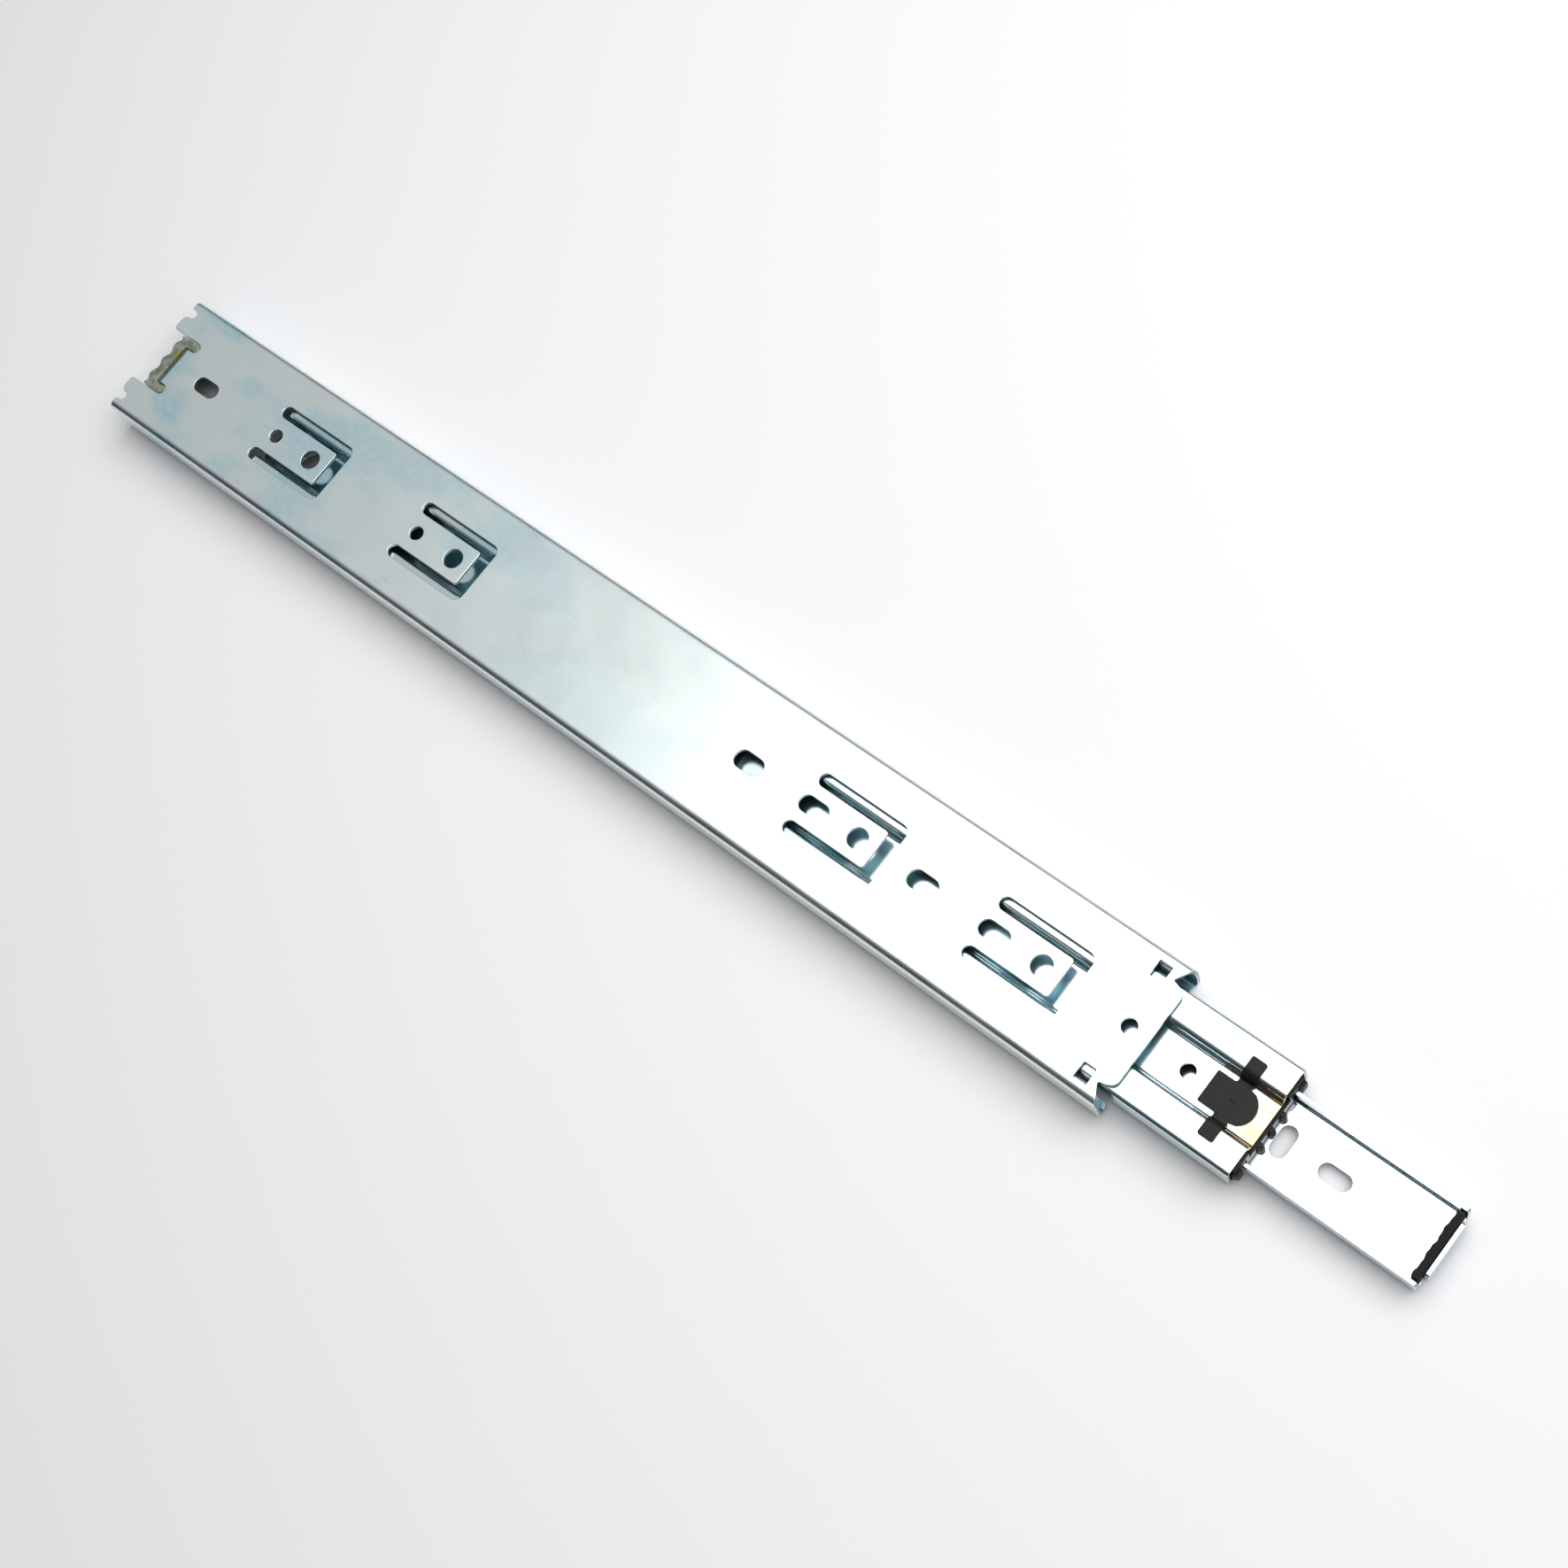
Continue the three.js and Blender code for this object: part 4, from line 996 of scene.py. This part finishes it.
# %% [markdown]
# ## Finishes
# Bright zinc plate is a metal mirror blurred by the sheet's fine rolled texture. What makes it
# read as zinc is variation: faint lines along the rolling direction, a soft orange peel,
# passivation clouds that shine cyan-blue, and handling marks. Each of these effects is a node
# group that puts out masks, so that every finish can use it with its own values.

# %% Node group helpers
def group(name, inputs, outputs):
    """A shader node group with named sockets. Inputs are floats given as {name: default}."""
    tree = bpy.data.node_groups.new(name, "ShaderNodeTree")
    for label, value in inputs.items():
        socket = tree.interface.new_socket(label, in_out="INPUT", socket_type="NodeSocketFloat")
        socket.default_value = value
    for label in outputs:
        tree.interface.new_socket(label, in_out="OUTPUT", socket_type="NodeSocketFloat")
    return tree, tree.nodes.new("NodeGroupInput"), tree.nodes.new("NodeGroupOutput")


def wire(tree, *pairs):
    for start, end in pairs:
        tree.links.new(start, end)


def object_place(tree):
    return tree.nodes.new("ShaderNodeTexCoord").outputs["Object"]


def noise(tree, place, scale, detail=2.0, rough=0.5, stretch=None):
    """Noise over the object's own coordinates, stretched by the given scale along X, Y and Z."""
    node = tree.nodes.new("ShaderNodeTexNoise")
    node.inputs["Scale"].default_value = scale
    node.inputs["Detail"].default_value = detail
    node.inputs["Roughness"].default_value = rough
    if stretch:
        mapping = tree.nodes.new("ShaderNodeMapping")
        mapping.inputs["Scale"].default_value = stretch
        wire(tree, (place, mapping.inputs["Vector"]), (mapping.outputs["Vector"], node.inputs["Vector"]))
    else:
        wire(tree, (place, node.inputs["Vector"]))
    return node.outputs["Fac"]


def feed(tree, sockets, values):
    """Gives each socket its value, which is a number or another node's socket."""
    for socket, value in zip(sockets, values):
        if isinstance(value, (int, float)):
            socket.default_value = value
        else:
            wire(tree, (value, socket))


def ramp(tree, value, low, high):
    """A smooth step of a value, 0 at low and 1 at high."""
    node = tree.nodes.new("ShaderNodeMapRange")
    node.interpolation_type = "SMOOTHSTEP"
    sockets = [node.inputs[label] for label in ("Value", "From Min", "From Max")]
    feed(tree, sockets, (value, low, high))
    return node.outputs["Result"]


def math_node(tree, operation, *values):
    node = tree.nodes.new("ShaderNodeMath")
    node.operation = operation
    feed(tree, node.inputs, values)
    return node.outputs["Value"]


def times(tree, *values):
    return math_node(tree, "MULTIPLY", *values)


def plus(tree, *values):
    return math_node(tree, "ADD", *values)


# %% Rolled sheet: fine lines along X, a soft orange peel and a slow shift of roughness
def make_rolled_sheet():
    strengths = {"Line strength": 0.5, "Peel strength": 0.5}
    tree, given, made = group("rolled_sheet", strengths, ["Height", "Roughness shift"])
    place = object_place(tree)
    lines = noise(tree, place, 1.0, 3.0, 0.6, (30, 2600, 2600))
    peel = noise(tree, place, 2200.0, 2.0, 0.5)
    lined = times(tree, lines, given.outputs["Line strength"])
    peeled = times(tree, peel, given.outputs["Peel strength"])
    height = plus(tree, lined, peeled)
    slow = noise(tree, place, 55.0, 4.0, 0.6)
    shift = math_node(tree, "SUBTRACT", slow, 0.5)
    wire(tree, (height, made.inputs["Height"]), (shift, made.inputs["Roughness shift"]))
    return tree


# %% Passivation clouds: large patches with a mottled, rubbed edge
def make_clouds():
    tree, given, made = group("passivation_clouds", {"Rear end": -0.2, "Front end": 0.05}, ["Mask"])
    place = object_place(tree)
    patches = ramp(tree, noise(tree, place, 24.0, 3.0, 0.55, (0.8, 1.25, 1)), 0.47, 0.60)
    mottle = ramp(tree, noise(tree, place, 520.0, 5.0, 0.75), 0.38, 0.62)
    worn = plus(tree, times(tree, mottle, 0.55), 0.45)
    broken = times(tree, patches, worn)
    split = tree.nodes.new("ShaderNodeSeparateXYZ")
    wire(tree, (place, split.inputs["Vector"]))
    fade = tree.nodes.new("ShaderNodeMapRange")
    fade.inputs["To Min"].default_value = 1.0
    fade.inputs["To Max"].default_value = 0.0
    wire(tree, (split.outputs["X"], fade.inputs["Value"]))
    wire(tree, (given.outputs["Rear end"], fade.inputs["From Min"]))
    wire(tree, (given.outputs["Front end"], fade.inputs["From Max"]))
    wire(tree, (times(tree, broken, fade.outputs["Result"]), made.inputs["Mask"]))
    return tree


# %% Handling marks: thin scratches in many directions and small dark specks
def make_marks():
    tree, given, made = group("handling_marks", {"Amount": 0.5}, ["Scratch", "Speck"])
    place = object_place(tree)
    scratches = []
    for turn, seed in ((0.5, 3.0), (-0.9, 11.0), (1.9, 23.0)):
        mapping = tree.nodes.new("ShaderNodeMapping")
        mapping.inputs["Rotation"].default_value = (0, 0, turn)
        mapping.inputs["Location"].default_value = (seed, seed, 0)
        mapping.inputs["Scale"].default_value = (45, 1500, 60)
        wire(tree, (place, mapping.inputs["Vector"]))
        lines = noise(tree, mapping.outputs["Vector"], 1.0, 1.0, 0.4)
        scratches.append(ramp(tree, lines, 0.735, 0.76))
    crossed = math_node(tree, "MAXIMUM", scratches[0], scratches[1])
    crossed = math_node(tree, "MAXIMUM", crossed, scratches[2])
    where = ramp(tree, noise(tree, place, 60.0, 2.0), 0.5, 0.62)
    patchy = times(tree, crossed, where)
    scratch = times(tree, patchy, given.outputs["Amount"])
    specks = ramp(tree, noise(tree, place, 900.0, 2.0, 0.5), 0.735, 0.765)
    sparse = ramp(tree, noise(tree, place, 75.0, 2.0), 0.52, 0.62)
    gathered = times(tree, specks, sparse)
    speck = times(tree, gathered, given.outputs["Amount"])
    wire(tree, (scratch, made.inputs["Scratch"]), (speck, made.inputs["Speck"]))
    return tree


# %% Moulded grain: the fine pebble of spark-eroded plastic moulds, and dust that lies on it
def make_moulded_grain():
    tree, given, made = group("moulded_grain", {"Size": 1600.0}, ["Height", "Dust"])
    place = object_place(tree)
    node = tree.nodes.new("ShaderNodeTexNoise")
    node.inputs["Detail"].default_value = 3.0
    wire(tree, (place, node.inputs["Vector"]), (given.outputs["Size"], node.inputs["Scale"]))
    dust = ramp(tree, noise(tree, place, 1300.0, 3.0, 0.6), 0.64, 0.74)
    wire(tree, (node.outputs["Fac"], made.inputs["Height"]), (dust, made.inputs["Dust"]))
    return tree


# %% Punched edge: the burnished rim and the sheared wall of every cut
def make_punched_edge():
    starts = {"Rim from": 0.04, "Wall from": 0.75}
    tree, given, made = group("punched_edge", starts, ["Rim", "Wall", "Back"])
    back = tree.nodes.new("ShaderNodeAttribute")
    back.attribute_name = BACK_FACE
    wire(tree, (back.outputs["Fac"], made.inputs["Back"]))
    cut = tree.nodes.new("ShaderNodeAttribute")
    cut.attribute_name = CUT_EDGE
    rising = ramp(tree, cut.outputs["Fac"], given.outputs["Rim from"], 0.3)
    wall = ramp(tree, cut.outputs["Fac"], given.outputs["Wall from"], 1.0)
    rim = math_node(tree, "SUBTRACT", rising, wall)
    wire(tree, (rim, made.inputs["Rim"]), (wall, made.inputs["Wall"]))
    return tree


GROUPS = {
    "rolled": make_rolled_sheet(),
    "clouds": make_clouds(),
    "marks": make_marks(),
    "grain": make_moulded_grain(),
    "edge": make_punched_edge(),
}
print("node groups:", [tree.name for tree in GROUPS.values()])


# %% Material helpers
def new_material(name):
    material = bpy.data.materials.new(name)
    material.use_nodes = True
    return material, material.node_tree, material.node_tree.nodes["Principled BSDF"]


def placed(tree, key, **values):
    """One of the shared groups in a material, with its own values."""
    node = tree.nodes.new("ShaderNodeGroup")
    node.node_tree = GROUPS[key]
    for label, value in values.items():
        node.inputs[label.replace("_", " ")].default_value = value
    return node.outputs


def mix(tree, factor, first, second):
    """A colour between two, each a colour or a socket."""
    node = tree.nodes.new("ShaderNodeMix")
    node.data_type = "RGBA"
    wire(tree, (factor, node.inputs["Factor"]))
    for socket, colour in ((node.inputs[6], first), (node.inputs[7], second)):
        if isinstance(colour, tuple):
            socket.default_value = (*colour, 1)
        else:
            wire(tree, (colour, socket))
    return node.outputs[2]


def bump(tree, shader, height, distance):
    node = tree.nodes.new("ShaderNodeBump")
    node.inputs["Distance"].default_value = distance
    wire(tree, (height, node.inputs["Height"]), (node.outputs["Normal"], shader.inputs["Normal"]))


# %% [markdown]
# Bright zinc. The base colour is the metal's tint, so the clouds change that, and the marks
# change both tint and roughness. The sheet's back face gets a darker tint, which is painted
# shade. The roughness sets how much of a mirror the piece is: the outer faces are satin, the
# inner ones nearly bright.

# %% Zinc plate
def zinc(name, tint, back_shade_tint, roughness, cloud_tint, clouds_to, marks, lines, peel, bump_depth):
    material, tree, shader = new_material(name)
    shader.inputs["Metallic"].default_value = 1.0
    rolled = placed(tree, "rolled", Line_strength=lines, Peel_strength=peel)
    clouds = placed(tree, "clouds", Rear_end=-0.22, Front_end=clouds_to)
    handled = placed(tree, "marks", Amount=marks)
    edge = placed(tree, "edge")
    colour = mix(tree, clouds["Mask"], tint, cloud_tint)
    # The sheet's back face, inside the channel or under the drawer member, gets a darker tint: painted
    # shade.
    colour = mix(tree, edge["Back"], colour, back_shade_tint)
    colour = mix(tree, handled["Scratch"], colour, tuple(0.72 * c for c in tint))
    colour = mix(tree, handled["Speck"], colour, (0.20, 0.20, 0.20))
    colour = mix(tree, edge["Rim"], colour, tuple(min(1.0, 1.12 * c) for c in tint))
    colour = mix(tree, edge["Wall"], colour, tuple(0.55 * c for c in tint))
    uneven = times(tree, rolled["Roughness shift"], 0.22)
    satin = plus(tree, uneven, roughness)
    satin = plus(tree, satin, times(tree, handled["Speck"], 0.02))
    satin = plus(tree, satin, times(tree, edge["Wall"], 0.12))
    wire(tree, (colour, shader.inputs["Base Color"]), (satin, shader.inputs["Roughness"]))
    bump(tree, shader, rolled["Height"], bump_depth)
    return material


cabinet_zinc = zinc(
    "cabinet_zinc", tint=(0.78, 0.83, 0.82), back_shade_tint=(0.24, 0.44, 0.50), roughness=0.30,
    cloud_tint=(0.44, 0.70, 0.80), clouds_to=0.06, marks=0.6, lines=0.5, peel=0.6, bump_depth=0.00003,
)
# Its tint is darker and more teal than the cabinet member's: partly blue passivation, partly painted
# shade for a member inside the cabinet member's channel.
middle_zinc = zinc(
    "intermediate_zinc", tint=(0.68, 0.76, 0.78), back_shade_tint=(0.34, 0.52, 0.58), roughness=0.18,
    cloud_tint=(0.36, 0.64, 0.72), clouds_to=0.5, marks=0.7, lines=0.5, peel=0.3, bump_depth=0.000012,
)
drawer_zinc = zinc(
    "drawer_zinc", tint=(0.76, 0.82, 0.84), back_shade_tint=(0.66, 0.76, 0.80), roughness=0.13,
    cloud_tint=(0.66, 0.82, 0.90), clouds_to=0.6, marks=0.5, lines=0.3, peel=0.2, bump_depth=0.000008,
)


# %% [markdown]
# The intermediate member's front end shows a gold heat and chromate tint that strengthens
# towards its edge. It is a mask of the distance from the front end, broken up by noise, laid
# over the zinc's tint. It is strong in the recess and faint on the ridges.

# %% Gold tint on the intermediate member's front
RIDGE_FADE = 0.78


def add_gold_end(material, front):
    tree = material.node_tree
    shader = tree.nodes["Principled BSDF"]
    plain = shader.inputs["Base Color"].links[0].from_socket
    place = object_place(tree)
    split = tree.nodes.new("ShaderNodeSeparateXYZ")
    wire(tree, (place, split.inputs["Vector"]))
    wander = noise(tree, place, 130.0, 4.0, 0.6)
    shifted = plus(tree, split.outputs["X"], times(tree, wander, 0.006))
    near = ramp(tree, shifted, front - 0.017, front + 0.003)
    streaks = ramp(tree, noise(tree, place, 1.0, 3.0, 0.6, (70, 420, 200)), 0.3, 0.75)
    gold = mix(tree, streaks, (0.42, 0.33, 0.20), (0.55, 0.48, 0.36))
    across = math_node(tree, "ABSOLUTE", split.outputs["Y"], 0.0)
    on_ridges = ramp(tree, across, RECESS_CORNER * MM, (RECESS_CORNER + 2.5) * MM)
    fading = math_node(tree, "SUBTRACT", 1.0, times(tree, on_ridges, RIDGE_FADE))
    strength = times(tree, near, fading)
    wire(tree, (mix(tree, strength, plain, gold), shader.inputs["Base Color"]))


add_gold_end(middle_zinc, MIDDLE_HIGH.x * MM)


# %% Cage strip, ball steel, plastics and rubber
def bright_steel(name, tint, roughness, lines):
    material, tree, shader = new_material(name)
    shader.inputs["Metallic"].default_value = 1.0
    rolled = placed(tree, "rolled", Line_strength=lines, Peel_strength=0.2)
    handled = placed(tree, "marks", Amount=0.4)
    colour = mix(tree, handled["Speck"], tint, (0.30, 0.28, 0.25))
    uneven = plus(tree, times(tree, rolled["Roughness shift"], 0.12), roughness)
    wire(tree, (colour, shader.inputs["Base Color"]), (uneven, shader.inputs["Roughness"]))
    bump(tree, shader, rolled["Height"], 0.00001)
    return material


def moulded(name, tint, dust_tint, roughness, grain, depth, shine=0.5):
    material, tree, shader = new_material(name)
    shader.inputs["Specular IOR Level"].default_value = shine
    grained = placed(tree, "grain", Size=grain)
    edge = placed(tree, "edge")
    colour = mix(tree, grained["Dust"], tint, dust_tint)
    colour = mix(tree, edge["Rim"], colour, tuple(min(1.0, 1.6 * c + 0.01) for c in tint))
    uneven = plus(tree, times(tree, grained["Dust"], 0.25), roughness)
    wire(tree, (colour, shader.inputs["Base Color"]), (uneven, shader.inputs["Roughness"]))
    bump(tree, shader, grained["Height"], depth)
    return material


cage_steel = bright_steel("cage_steel", (0.62, 0.64, 0.66), 0.26, 0.5)
ball_steel = bright_steel("ball_steel", (0.80, 0.81, 0.83), 0.07, 0.02)
black_plastic = moulded(
    "black_plastic", (0.012, 0.011, 0.011), (0.04, 0.038, 0.04), roughness=0.38,
    grain=1500.0, depth=0.00004, shine=0.14,
)
rubber = moulded(
    "strip_rubber", (0.008, 0.007, 0.006), (0.03, 0.028, 0.026), roughness=0.7,
    grain=1100.0, depth=0.00006, shine=0.2,
)


# %% Grey plastic: cloudy, a little translucent, with a spot of amber grease
def make_grey_plastic():
    material = moulded(
        "grey_plastic", (0.23, 0.25, 0.20), (0.36, 0.38, 0.32), roughness=0.34,
        grain=700.0, depth=0.00004,
    )
    tree = material.node_tree
    shader = tree.nodes["Principled BSDF"]
    plain = shader.inputs["Base Color"].links[0].from_socket
    place = object_place(tree)
    smear = ramp(tree, noise(tree, place, 160.0, 3.0, 0.6), 0.58, 0.68)
    cloudy = ramp(tree, noise(tree, place, 420.0, 4.0, 0.6), 0.40, 0.62)
    colour = mix(tree, cloudy, plain, (0.13, 0.14, 0.11))
    wire(tree, (mix(tree, smear, colour, (0.22, 0.14, 0.02)), shader.inputs["Base Color"]))
    shader.inputs["Subsurface Weight"].default_value = 0.25
    shader.inputs["Subsurface Scale"].default_value = 0.0015
    return material


grey_plastic = make_grey_plastic()
ball_mesh.materials.append(ball_steel)

# %% [markdown]
# ## Which body carries what
# Each piece stands for one CAD node and hides it, takes the finish listed for it next to the
# name of that node's material slot, and rides on the body that the node belongs to, so it moves as the
# slide is drawn out.

# %% Materials and bodies
CARRIED = [
    (cabinet_section, cabinet_zinc, "cabinet", "cabinet_member", "zinc"),
    (rear_bumper, grey_plastic, "cabinet", "rear_bumper", "grey_plastic"),
    (intermediate_section, middle_zinc, "intermediate", "intermediate_member", "zinc"),
    (stop_clip, black_plastic, "intermediate", "stop_clip", "black_plastic"),
    (front_bumper, black_plastic, "intermediate", "front_bumper", "black_plastic"),
    (drawer_section, drawer_zinc, "drawer", "drawer_member", "zinc"),
    (end_strip, rubber, "drawer", "drawer_end_bumper", "rubber"),
    (lever_rivet, cage_steel, "drawer", "lever_rivet", "cage_steel"),
    (release_lever, black_plastic, "release_lever", "release_lever", "black_plastic"),
    (outer_cage, cage_steel, "outer_cage", "outer_cage", "cage_steel"),
    (inner_cage, cage_steel, "inner_cage", "inner_cage", "cage_steel"),
]

for piece, finish, body, node, node_slot in CARRIED:
    piece.data.materials.append(finish)
    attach(piece, body)
    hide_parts(node)
print(len(CARRIED), "pieces ride on", sorted({row[2] for row in CARRIED}))
